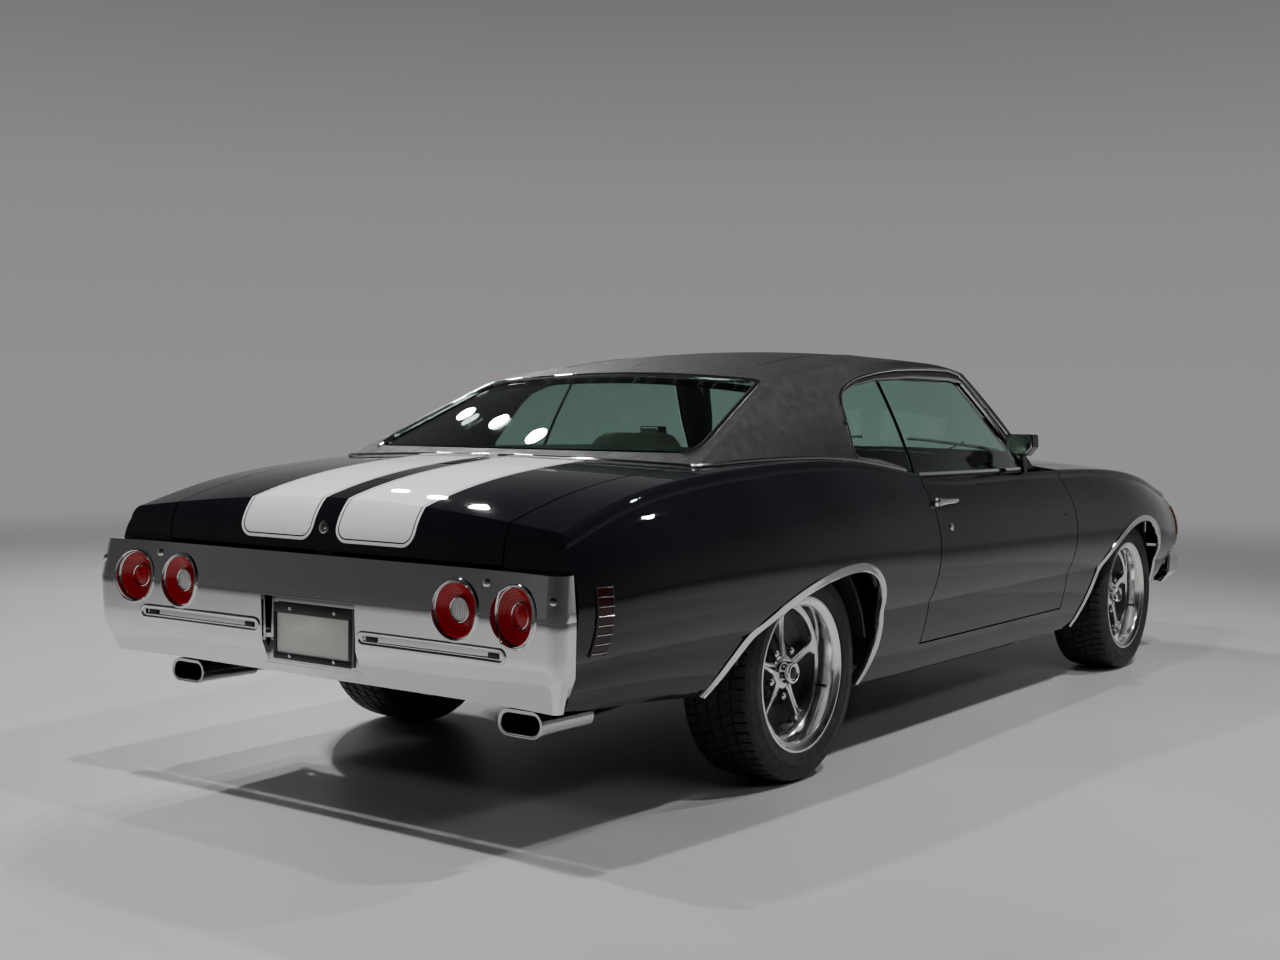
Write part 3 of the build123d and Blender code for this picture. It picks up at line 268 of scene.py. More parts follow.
def make_chrome(name="bright_chrome", tint=(0.80, 0.81, 0.82), rough=(0.03, 0.09)):
    made = Finish(name, tint, 0.06, metallic=1.0)
    made.vary("Roughness", made.noise(14.0, 6.0), (0.35, rough[0]), (0.8, rough[1]))
    made.bump(made.noise(3.2, 2.0), 0.08, 0.004)


BUMPER_FOLDS = ((0.600, 0.026, -1.9), (0.462, 0.045, -1.8))   # height, half width and swell of each fold


def make_bumper_chrome():
    """Chrome of the rear bumper, its pressed folds rounded."""
    made = Finish("bumper_chrome", (0.80, 0.81, 0.82), 0.05, metallic=1.0)
    made.vary("Roughness", made.noise(14.0, 6.0), (0.35, 0.02), (0.8, 0.07))
    height = made.split()["Z"]
    swell = 0.0
    for fold, reach, rise in BUMPER_FOLDS:
        off = made.math("ABSOLUTE", made.math("SUBTRACT", height, fold))
        near = made.math("MAXIMUM", made.math("SUBTRACT", reach, off), 0.0)
        swell = made.math("ADD", swell, made.math("MULTIPLY", made.math("MULTIPLY", near, near), rise))
    made.bump(swell, 1.0, 1.0)
    made.bump(made.noise(2.4, 2.0), 0.14, 0.006)


def make_polished_alloy():
    """Turned alloy: its fine rings follow the distance along the axle."""
    made = Finish("polished_alloy", (0.90, 0.90, 0.89), 0.16, metallic=1.0)
    made.vary("Roughness", made.noise(30.0, 5.0), (0.3, 0.10), (0.8, 0.24))
    along_axle = made.node("CombineXYZ", Y=made.split()["Y"]).outputs[0]
    made.bump(made.noise(60.0, 3.0, place=along_axle), 0.12, 0.0008)


def make_satin(name, colour, rough, metallic=0.0, grain=300.0, height=0.0004, vary=1.5, strength=0.35,
               patch=12.0):
    """A plain finish with patchy colour, uneven gloss and a fine grain."""
    made = Finish(name, colour, rough, metallic)
    made.vary("Base Color", made.noise(patch, 6.0, 0.6), (0.3, tuple(c / vary for c in colour)),
              (0.75, shade(colour, vary)))
    made.vary("Roughness", made.noise(patch * 3.0, 5.0), (0.3, max(0.02, rough - 0.1)),
              (0.8, min(1.0, rough + 0.12)))
    made.bump(made.noise(grain, 4.0), strength, height)


def make_rubber():
    made = Finish("tyre_rubber", (0.017, 0.017, 0.018), 0.62, Specular_IOR_Level=0.4)
    made.vary("Base Color", made.noise(18.0, 6.0, 0.65), (0.35, (0.012, 0.012, 0.013)),
              (0.75, (0.034, 0.033, 0.032)))
    made.vary("Roughness", made.noise(55.0, 4.0), (0.3, 0.5), (0.8, 0.78))
    made.bump(made.noise(700.0, 3.0), 0.3, 0.0004)


def make_glass():
    made = Finish("tinted_glass", (0.62, 0.80, 0.74), 0.0, IOR=1.45, Transmission_Weight=1.0)
    made.vary("Roughness", made.noise(5.0, 4.0), (0.4, 0.0), (0.9, 0.012))


def make_lens(name, colour, gloss=0.30):
    """Moulded lens with small prism facets behind a smooth skin, coloured with a painted highlight in the
    middle of each facet and painted shade at its edge.
    """
    made = Finish(name, colour, 0.05, IOR=1.49, Coat_Weight=gloss, Coat_Roughness=0.02,
                  Specular_IOR_Level=0.3)
    prism_relief_and_glints = made.cells(190.0, 0.10)
    # painted highlight in the middle of each prism facet, painted shade at its edge
    made.vary("Base Color", prism_relief_and_glints, (0.0, shade(colour, 1.35)), (0.6, shade(colour, 0.45)))
    made.bump(prism_relief_and_glints, 0.30, 0.0010)


RIB_PITCH = 0.0058


def make_ribbed_lens():
    """Clear lens with upright ribs, coloured with painted shade and painted highlight across each rib."""
    made = Finish("ribbed_clear_lens", (0.74, 0.76, 0.75), 0.06, Coat_Weight=0.5, Coat_Roughness=0.02)
    ribs = made.math("SINE", made.math("MULTIPLY", made.split()["Y"], math.tau / RIB_PITCH))
    # painted shade and painted highlight: the colour darkens and brightens across each rib
    made.vary("Base Color", ribs, (0.0, (0.50, 0.51, 0.52)), (0.8, (0.86, 0.87, 0.87)))
    made.bump(ribs, 0.8, 0.0012)


def make_leather():
    base = hue("seats")
    made = Finish("seat_vinyl", base, 0.5, Specular_IOR_Level=0.4)
    made.vary("Base Color", made.noise(14.0, 6.0), (0.3, shade(base, 0.85)), (0.8, shade(base, 1.12)))
    made.vary("Roughness", made.noise(40.0, 4.0), (0.3, 0.42), (0.8, 0.6))
    made.bump(made.cells(380.0, 1.0), 0.4, 0.0008)


def finishes():
    """Every finish by its short name, made once."""
    if "gloss_black_paint" not in bpy.data.materials:
        make_paint()
        make_vinyl()
        make_chrome()
        make_bumper_chrome()
        make_chrome("stainless_exhaust", (0.62, 0.62, 0.63), (0.12, 0.26))
        make_polished_alloy()
        make_rubber()
        make_glass()
        make_lens("red_lens", (0.60, 0.0035, 0.0120))
        make_ribbed_lens()
        make_lens("clear_lens", (0.78, 0.80, 0.80))
        make_leather()
        make_striped_paint("striped_lid_paint", LID_STRIPE_END_Z)
        make_striped_paint("striped_top_paint")
        make_lens("dark_red_lens", (0.030, 0.001, 0.001), gloss=0.12)
        make_lens("dark_amber_lens", (0.15, 0.040, 0.006))
        make_lens("amber_lens", (0.62, 0.20, 0.02))
        make_satin("mirror_silver", (0.80, 0.82, 0.83), 0.03, 1.0, grain=3.0, vary=1.02, strength=0.05)
        make_satin("soot_black", (0.012, 0.011, 0.010), 0.8)
        make_satin("grille_black", (0.010, 0.010, 0.010), 0.5)
        make_satin("headliner_cloth", (0.60, 0.58, 0.52), 0.9, grain=800.0, height=0.0012, strength=0.5,
                   vary=1.08)
        make_satin("underbody_black", (0.018, 0.018, 0.019), 0.6, grain=120.0, height=0.0012)
        make_satin("cast_iron", (0.12, 0.035, 0.022), 0.5, 0.3, grain=240.0, height=0.0008)
        make_satin("dash_black", (0.02, 0.02, 0.022), 0.45)
        make_satin("wheel_pocket_black", (0.012, 0.012, 0.013), 0.35)
        make_satin("plate_face", (0.70, 0.69, 0.66), 0.4, vary=1.06, patch=6.0)
        make_satin("carpet", (0.03, 0.029, 0.027), 0.95, grain=900.0, height=0.003, strength=0.8)
        make_satin("frame_black", (0.014, 0.014, 0.014), 0.4)
    return bpy.data.materials


# ---------------------------------------------------------------- mesh helpers


def finished(name, shape, material, body, smooth=35.0, replaces=()):
    """Turns a bmesh into a named object that rides on a body. Edges over the smooth angle stay sharp."""
    mesh = bpy.data.meshes.new(name)
    bmesh.ops.recalc_face_normals(shape, faces=shape.faces)
    for face in shape.faces:
        face.smooth = True
    for edge in shape.edges:
        if len(edge.link_faces) == 2 and edge.calc_face_angle(0.0) > math.radians(smooth):
            edge.smooth = False
    shape.to_mesh(mesh)
    shape.free()
    made = bpy.data.objects.new(name, mesh)
    bpy.context.scene.collection.objects.link(made)
    for one in (material if isinstance(material, (list, tuple)) else [material]):
        mesh.materials.append(finishes()[one])
    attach(made, body)
    if replaces:
        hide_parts(*replaces)
    return made


def once(items):
    """The items in their order, each once."""
    return list(dict.fromkeys(items))


def add_block(shape, low, high, bevel=0.0, segments=2, turn=None, material=0):
    """A box between two corners, with rounded edges."""
    low, high = Vector(low), Vector(high)
    verts = bmesh.ops.create_cube(shape, size=1.0)["verts"]
    bmesh.ops.scale(shape, vec=high - low, verts=verts)
    if bevel:
        edges = once(edge for vert in verts for edge in vert.link_edges)
        result = bmesh.ops.bevel(shape, geom=edges, offset=bevel, segments=segments, profile=0.5,
                                 affect="EDGES", material=-1)
        verts = once([vert for face in result["faces"] for vert in face.verts]
                     + [vert for vert in verts if vert.is_valid])
    if turn is not None:
        bmesh.ops.transform(shape, matrix=turn, verts=verts)
    bmesh.ops.translate(shape, vec=(low + high) / 2, verts=verts)
    for face in {face for vert in verts for face in vert.link_faces}:
        face.material_index = material


def add_spin(shape, profile, centre, axis, steps, material=0, closed=True):
    """Turns a profile of (distance along axis, radius) points right round an axis.

    A profile that is not closed starts and ends on the axis.
    """
    axis = Vector(axis).normalized()
    side = axis.orthogonal().normalized()
    known = set(shape.faces)
    verts = [shape.verts.new(Vector(centre) + axis * along + side * radius) for along, radius in profile]
    edges = [shape.edges.new(pair) for pair in zip(verts, verts[1:])]
    if closed:
        edges.append(shape.edges.new((verts[-1], verts[0])))
    bmesh.ops.spin(shape, geom=verts + edges, cent=centre, axis=axis, angle=math.tau, steps=steps,
                   use_merge=True)
    faces = [face for face in shape.faces if face not in known]
    for face in faces:
        face.material_index = material
    bmesh.ops.remove_doubles(shape, verts=once(v for f in faces for v in f.verts), dist=0.00001)


def add_rod(shape, start, end, radius, segments=16, end_radius=None, material=0):
    """A round bar between two points."""
    start, end = Vector(start), Vector(end)
    turn = (end - start).to_track_quat("Z", "Y").to_matrix().to_4x4()
    made = bmesh.ops.create_cone(shape, cap_ends=True, segments=segments, radius1=radius,
                                 radius2=radius if end_radius is None else end_radius,
                                 depth=(end - start).length,
                                 matrix=Matrix.Translation((start + end) / 2) @ turn)
    for face in {face for vert in made["verts"] for face in vert.link_faces}:
        face.material_index = material


def merged(node):
    """A copy of a CAD node's mesh with its doubled points merged."""
    shape = bmesh.new()
    shape.from_mesh(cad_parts[node].data)
    bmesh.ops.remove_doubles(shape, verts=shape.verts, dist=0.00002)
    shape.normal_update()
    return shape


TREES = {}


def on_surface(nodes, start, direction):
    """The point where a ray first meets some CAD nodes, and the outward normal there."""
    if nodes not in TREES:
        shape = bmesh.new()
        for node in nodes:
            shape.from_mesh(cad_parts[node].data)
        TREES[nodes] = BVHTree.FromBMesh(shape)
        shape.free()
    direction = Vector(direction).normalized()
    place, normal, _, _ = TREES[nodes].ray_cast(Vector(start), direction)
    if place is None:
        raise RuntimeError("nothing met from %s" % (tuple(start),))
    return place, (normal if normal.dot(direction) < 0 else -normal)


def beside(side, x, z, *nodes):
    """Where a ray from one side of the car meets some CAD nodes."""
    return on_surface(nodes, (x, side * 1.2, z), (0, -side, 0))


def behind(y, z, *nodes):
    """Where a ray from behind the car meets some CAD nodes."""
    return on_surface(nodes, (-2.7, y, z), (1, 0, 0))


def above(x, y, start_z, *nodes):
    """Where a ray from above meets some CAD nodes."""
    return on_surface(nodes, (x, y, start_z), (0, 0, -1))


def apart(run):
    """The points and the normals of a run of (point, normal) pairs."""
    return [point for point, _ in run], [normal for _, normal in run]


def spread(run, step):
    """Points and normals at even steps along a run of (point, normal) pairs."""
    return even(*apart(run), step)


SHARP = math.radians(25)    # least angle of an edge that a moulding may follow


def edge_path(node, accept, step, toward):
    """Follows the sharp edges of a CAD node that a test accepts, and returns even points and skin normals."""
    shape = merged(node)
    skins, links = {}, {}
    for edge in shape.edges:
        if len(edge.link_faces) != 2 or edge.calc_face_angle(0.0) < SHARP:
            continue
        middle = (edge.verts[0].co + edge.verts[1].co) / 2
        one, two = edge.link_faces
        for skin, cut in ((one.normal, two.normal), (two.normal, one.normal)):
            if accept(middle, skin, cut):
                ends = [tuple(round(c, 5) for c in vert.co) for vert in edge.verts]
                for a, b in (ends, ends[::-1]):
                    links.setdefault(a, set()).add(b)
                    skins.setdefault(a, Vector()).__iadd__(skin)
                break
    shape.free()
    best, best_length, seen = [], 0.0, set()
    for start in sorted(links, key=lambda p: (len(links[p]), p)):
        if start in seen:
            continue
        path, at = [start], start
        seen.add(start)
        while True:
            ahead = [p for p in sorted(links[at]) if p not in seen]
            if not ahead:
                break
            at = ahead[0]
            seen.add(at)
            path.append(at)
        length = sum((Vector(a) - Vector(b)).length for a, b in zip(path, path[1:]))
        if length > best_length:
            best, best_length = path, length
    if best_length < 0.05:
        raise RuntimeError("no edge found on " + node)
    closed = best[0] in links[best[-1]] and len(best) > 3
    if closed:
        best.append(best[0])
    points, normals = even([Vector(p) for p in best], [skins[p].normalized() for p in best], step, closed)
    middle = len(points) // 2
    along = points[middle + 1] - points[middle - 1]
    if along.cross(normals[middle]).dot(Vector(toward) - points[middle]) < 0:
        points.reverse()
        normals.reverse()
    return points, normals, closed


def even(points, normals, step, closed=False):
    """Points at even steps along a path, with their normals."""
    marks = [0.0]
    for a, b in zip(points, points[1:]):
        marks.append(marks[-1] + (b - a).length)
    count = max(2, round(marks[-1] / step))
    out, tilt, at = [], [], 0
    for index in range(count + (0 if closed else 1)):
        want = marks[-1] * index / count
        while at < len(marks) - 2 and marks[at + 1] < want:
            at += 1
        share = (want - marks[at]) / max(1e-9, marks[at + 1] - marks[at])
        out.append(points[at].lerp(points[at + 1], min(1.0, share)))
        tilt.append(normals[at].lerp(normals[at + 1], min(1.0, share)).normalized())
    for _ in range(2):
        tilt = [(tilt[max(0, i - 1)] + tilt[i] * 2 + tilt[min(len(tilt) - 1, i + 1)]).normalized()
                for i in range(len(tilt))]
    return out, tilt


def add_moulding(shape, points, normals, profile, closed=False, material=0):
    """Draws a profile along a path: across it towards the opening, and out from the surface."""
    count, rings = len(points), []
    known = set(shape.faces)
    for index, (point, normal) in enumerate(zip(points, normals)):
        before = points[index - 1] if index or closed else point
        after = points[(index + 1) % count] if index < count - 1 or closed else point
        across = (after - before).cross(normal).normalized()
        ring = [shape.verts.new(point + across * u + normal * v) for u, v in profile]
        rings.append([shape.edges.new((ring[k], ring[(k + 1) % len(ring)])) for k in range(len(ring))])
    pairs = list(zip(rings, rings[1:])) + ([(rings[-1], rings[0])] if closed else [])
    for a, b in pairs:
        bmesh.ops.bridge_loops(shape, edges=a + b)
    if not closed:
        for ring in (rings[0], rings[-1]):
            bmesh.ops.holes_fill(shape, edges=ring)
    for face in shape.faces:
        if face not in known:
            face.material_index = material


SEAM_DEPTH = 0.006
SEAM_HALF_WIDTH = 0.009


def add_cushion(shape, low, high, radius, crown, seams, cuts=30):
    """A padded block with a crowned top, pulled-in edges and channels sewn along X at some Y."""
    low, high = Vector(low), Vector(high)
    half = (high - low) / 2
    verts = bmesh.ops.create_cube(shape, size=2.0)["verts"]
    edges = once(edge for vert in verts for edge in vert.link_edges)
    grown = bmesh.ops.subdivide_edges(shape, edges=edges, cuts=cuts, use_grid_fill=True)
    verts = once(vert for item in grown["geom"] if isinstance(item, bmesh.types.BMFace)
                 for vert in item.verts)
    for vert in verts:
        place = Vector(a * b for a, b in zip(vert.co, half))
        core = Vector(max(-(h - radius), min(h - radius, p)) for p, h in zip(place, half))
        if (place - core).length > 1e-9:
            place = core + (place - core).normalized() * radius
        u, v = place.x / half.x, place.y / half.y
        if place.z > 0:
            swell = max(0.0, 1 - u * u) * max(0.0, 1 - v * v)
            place.z += crown * swell ** 0.6
            for seam in seams:
                place.z -= SEAM_DEPTH * math.exp(-((place.y - seam) / SEAM_HALF_WIDTH) ** 2)
        vert.co = place + (low + high) / 2
    return verts


def add_loft(shape, rings, material=0, ends=True):
    """Joins closed rings of points one after another and closes both ends."""
    known = set(shape.faces)
    loops = []
    for ring in rings:
        verts = [shape.verts.new(point) for point in ring]
        loops.append([shape.edges.new((verts[k], verts[(k + 1) % len(verts)])) for k in range(len(verts))])
    for a, b in zip(loops, loops[1:]):
        bmesh.ops.bridge_loops(shape, edges=a + b)
    if ends:
        for loop in (loops[0], loops[-1]):
            bmesh.ops.holes_fill(shape, edges=loop)
    for face in shape.faces:
        if face not in known:
            face.material_index = material


def oval(centre, across, upward, wide, high, count=16):
    """Ring of points on an ellipse."""
    centre, across, upward = Vector(centre), Vector(across), Vector(upward)
    turns = [math.tau * k / count for k in range(count)]
    return [centre + across * (wide * math.cos(turn)) + upward * (high * math.sin(turn)) for turn in turns]


def slot_ring(x, y, z, half, radius):
    """Ring of points round a lying slot."""
    points = []
    for k in range(40):
        angle = math.tau * k / 40
        shift = (half - radius) * (1 if math.cos(angle) > 0 else -1 if math.cos(angle) < -0.0001 else 0)
        points.append((x, y + shift + radius * math.cos(angle), z + radius * math.sin(angle)))
    return points


# ---------------------------------------------------------------- wheels and tyres

WHEELS = [("wheel_%s_%s" % (end, word), x, side)
          for end, x in (("front", AXLE_FRONT_X), ("rear", AXLE_REAR_X)) for side, word in SIDES]

# Half of the tyre's section, as (distance from its middle plane, radius).
TREAD_HALF = ((0.0, 0.3270), (0.0175, 0.3269), (0.0185, 0.3200), (0.0245, 0.3200), (0.0255, 0.3267),
              (0.0575, 0.3262), (0.0585, 0.3192), (0.0645, 0.3192), (0.0655, 0.3256), (0.0900, 0.3240),
              (0.0990, 0.3222), (0.1065, 0.3185))
TABLE_RADIUS = 0.327    # of the section above
TREAD_FLOOR = 0.3215    # a larger radius is cut by the cross grooves
TREAD_BLOCKS = 60
TREAD_EDGE_Y = 0.066    # where the lean of the blocks ends
WALL_HALF = ((0.1120, 0.3125), (0.1158, 0.3020), (0.1164, 0.3008), (0.1158, 0.2996), (0.1182, 0.2900),
             (0.1206, 0.2760), (0.1219, 0.2735), (0.1219, 0.2705), (0.1206, 0.2680), (0.1200, 0.2560),
             (0.1180, 0.2480), (0.1172, 0.2440), (0.1150, 0.2405), (0.1060, 0.2375), (0.1005, 0.2170))
RIM_SECTION = ((0.1135, 0.2360), (0.1140, 0.2335), (0.1140, 0.2300), (0.1125, 0.2272), (0.1080, 0.2235),
               (0.1040, 0.2160), (0.1020, 0.2108), (0.0980, 0.2085), (0.0450, 0.2060), (0.0436, 0.2050),
               (0.0430, 0.1975), (0.0415, 0.1960), (0.0300, 0.1950), (0.0, 0.1950), (-0.0500, 0.1990),
               (-0.1000, 0.2070), (-0.1080, 0.2240), (-0.1140, 0.2275), (-0.1140, 0.2320),
               (-0.1060, 0.2320), (-0.1020, 0.2158), (0.1010, 0.2158), (0.1055, 0.2360))


# Sections of the wheel, as (distance out along the axle, radius).
DISH = ((0.040, 0.054), (0.018, 0.072), (0.004, 0.105), (0.002, 0.150), (0.012, 0.180), (0.031, 0.1957),
        (0.026, 0.1957), (0.005, 0.182), (-0.006, 0.150), (-0.004, 0.100), (0.010, 0.066), (0.030, 0.048))
CAP = ((0.012, 0.058), (0.040, 0.054), (0.046, 0.050), (0.048, 0.044), (0.048, 0.0345), (0.078, 0.0335),
       (0.0815, 0.0318), (0.083, 0.0290), (0.083, 0.0255), (0.0805, 0.0238), (0.0790, 0.0210),
       (0.0790, 0.0), (0.012, 0.0))
CAP_FACE = ((0.0792, 0.0), (0.0792, 0.0195), (0.0802, 0.0180), (0.0815, 0.0060), (0.0815, 0.0))
# Stations of a spoke: radius, half width, outer and inner distance along the axle.
SPOKE = ((0.048, 0.0200, 0.0465, 0.020), (0.062, 0.0150, 0.0450, 0.014), (0.095, 0.0118, 0.0420, 0.006),
         (0.140, 0.0112, 0.0395, 0.004), (0.168, 0.0135, 0.0390, 0.006), (0.184, 0.0200, 0.0405, 0.012),
         (0.1935, 0.0330, 0.0425, 0.020), (0.1965, 0.0460, 0.0428, 0.028))
NUT_RADIUS = 0.074      # of the circle that the nuts lie on
VALVE_TURN = 0.3        # share of a turn


def put_wheel(shape, x, side):
    """Moves a wheel, made round the origin for the left, to its place."""
    bmesh.ops.scale(shape, vec=(1, side, 1), verts=shape.verts)
    bmesh.ops.translate(shape, vec=(x, side * WHEEL_Y, AXLE_Z), verts=shape.verts)


def add_turned_rod(shape, turn, start, end, *sizes, material):
    """A round bar of the wheel, turned round the axle."""
    add_rod(shape, turn @ Vector(start), turn @ Vector(end), *sizes, material=material)


class COUPE_OT_tyres(bpy.types.Operator):
    """Four tyres with ribs, grooves and angled tread blocks"""

    bl_idname = "coupe.tyres"
    bl_label = "Tyres"

    def execute(self, context):
        sizes = context.scene.coupe_wheels
        grow = sizes.tyre_radius - TABLE_RADIUS
        half = TREAD_HALF + WALL_HALF
        section = [(a, r + grow) for a, r in half] + [(-a, r + grow) for a, r in half[:0:-1]]
        low = [(a, r - (sizes.groove_depth - 0.001 if r > TREAD_FLOOR + grow else 0.0)) for a, r in section]
        pitch = math.tau / TREAD_BLOCKS
        for name, x, side in WHEELS:
            shape = bmesh.new()
            rings = []
            for share, outline in ((0.0, section), (0.80, section), (0.82, low), (0.98, low),
                                   (1.0, section)):
                turn = Matrix.Rotation(pitch * share, 3, "Y")
                rings.append([turn @ Vector((0, a, r)) for a, r in outline])
            add_loft(shape, rings, ends=False)
            bmesh.ops.spin(shape, geom=shape.verts[:] + shape.edges[:] + shape.faces[:], cent=(0, 0, 0),
                           axis=(0, 1, 0), angle=math.tau * (TREAD_BLOCKS - 1) / TREAD_BLOCKS,
                           steps=TREAD_BLOCKS - 1, use_duplicate=True)
            bmesh.ops.remove_doubles(shape, verts=shape.verts, dist=0.00005)
            for vert in shape.verts:
                lean = 1.5 * min(abs(vert.co.y), TREAD_EDGE_Y) * (1 if vert.co.y > 0 else -1)
                vert.co = Matrix.Rotation(lean, 3, "Y") @ vert.co
            put_wheel(shape, x, side)
            finished(name + "_tyre", shape, "tyre_rubber", name, 30.0,
                     (name.replace("wheel", "tyre"),))
        return {"FINISHED"}


class COUPE_OT_wheels(bpy.types.Operator):
    """Four deep polished wheels with narrow spokes, black pockets, caps and nuts"""

    bl_idname = "coupe.wheels"
    bl_label = "Wheels"

    def execute(self, context):
        for name, x, side in WHEELS:
            shape = bmesh.new()
            for section, steps, material in ((RIM_SECTION, 96, 0), (DISH, 72, 1), (CAP, 48, 2),
                                             (CAP_FACE, 32, 1)):
                add_spin(shape, section, (0, 0, 0), (0, 1, 0), steps, material,
                         section in (RIM_SECTION, DISH))
            spokes = context.scene.coupe_wheels.spoke_count
            for index in range(spokes):
                turn = Matrix.Rotation(math.tau * index / spokes, 3, "Y")
                rings = []
                for r, wide, top, low in SPOKE:
                    half = ((wide, low), (wide, top - 0.0055), (wide * 0.80, top - 0.0015),
                            (wide * 0.45, top), (wide * 0.2, top - 0.0016))
                    rings.append([turn @ Vector((a, y, r)) for a, y in
                                  [(-a, y) for a, y in half] + list(half[::-1])])
                add_loft(shape, rings)
                turn = Matrix.Rotation(math.tau * (index + 0.5) / spokes, 3, "Y")
                r = NUT_RADIUS
                # wheel nut, stud end and the dark bar between two spokes
                add_turned_rod(shape, turn, (0, 0.018, r), (0, 0.047, r), 0.0125, 6, 0.011, material=2)
                add_turned_rod(shape, turn, (0, 0.046, r), (0, 0.0515, r), 0.0095, 12, 0.005, material=2)
                add_turned_rod(shape, turn, (-0.045, 0.006, 0.110), (0.045, 0.006, 0.110), 0.0055, 8,
                               material=1)
            turn = Matrix.Rotation(math.tau * VALVE_TURN, 3, "Y")
            add_turned_rod(shape, turn, (0, 0.050, 0.2010), (0, 0.082, 0.1985), 0.0042, 10, material=1)
            put_wheel(shape, x, side)
            finished(name + "_rim", shape, ["polished_alloy", "wheel_pocket_black", "bright_chrome"], name,
                     28.0, (name.replace("wheel", "rim"),))
        return {"FINISHED"}


# ---------------------------------------------------------------- bright trim

# Sections of the mouldings, as (distance across towards the opening, distance out from the surface).
BAND = ((-0.0240, 0.0006), (-0.0232, 0.0034), (-0.0190, 0.0046), (-0.0150, 0.0040), (-0.0070, 0.0044),
        (-0.0020, 0.0062), (0.0022, 0.0058), (0.0036, 0.0036), (0.0036, -0.0240), (0.0024, -0.0240),
        (0.0022, 0.0006))
FRONT_BAND = BAND[:-3] + ((0.0036, -0.0090), (0.0024, -0.0090), (0.0022, 0.0006))
REVEAL = ((-0.0170, 0.0004), (-0.0162, 0.0030), (-0.0100, 0.0048), (-0.0030, 0.0044), (0.0020, 0.0022),
          (0.0026, -0.0060), (0.0014, -0.0060), (0.0010, 0.0004))
SLIM_REVEAL = tuple((u * 0.62, v * 0.8) for u, v in REVEAL)
BEAD = ((-0.0060, 0.0004), (-0.0052, 0.0036), (-0.0020, 0.0056), (0.0020, 0.0056), (0.0052, 0.0036),
        (0.0060, 0.0004))
LIP = ((-0.0075, -0.0010), (-0.0060, 0.0016), (-0.0025, 0.0034), (0.0015, 0.0036), (0.0045, 0.0020),
       (0.0050, -0.0010))
SEAM = ((-0.0045, -0.0010), (-0.0028, 0.0010), (0.0, 0.0016), (0.0028, 0.0010), (0.0045, -0.0010))
RAIL = ((-0.0050, 0.0004), (-0.0058, 0.0070), (-0.0040, 0.0100), (0.0030, 0.0100), (0.0052, 0.0074),
        (0.0050, 0.0004))

# Course of the drip rail, as (x, z).
RAIL_COURSE = ((0.50, 0.998), (0.42, 1.072), (0.33, 1.160), (0.262, 1.232), (0.20, 1.270), (0.09, 1.281),
               (-0.10, 1.281), (-0.235, 1.277), (-0.38, 1.270), (-0.50, 1.257), (-0.60, 1.241),
               (-0.68, 1.224), (-0.74, 1.202), (-0.79, 1.172), (-0.822, 1.130), (-0.84, 1.085))


def add_bright(name, shape, body="body"):
    """Finishes a shape as a bright chrome piece."""
    finished(name, shape, "bright_chrome", body)


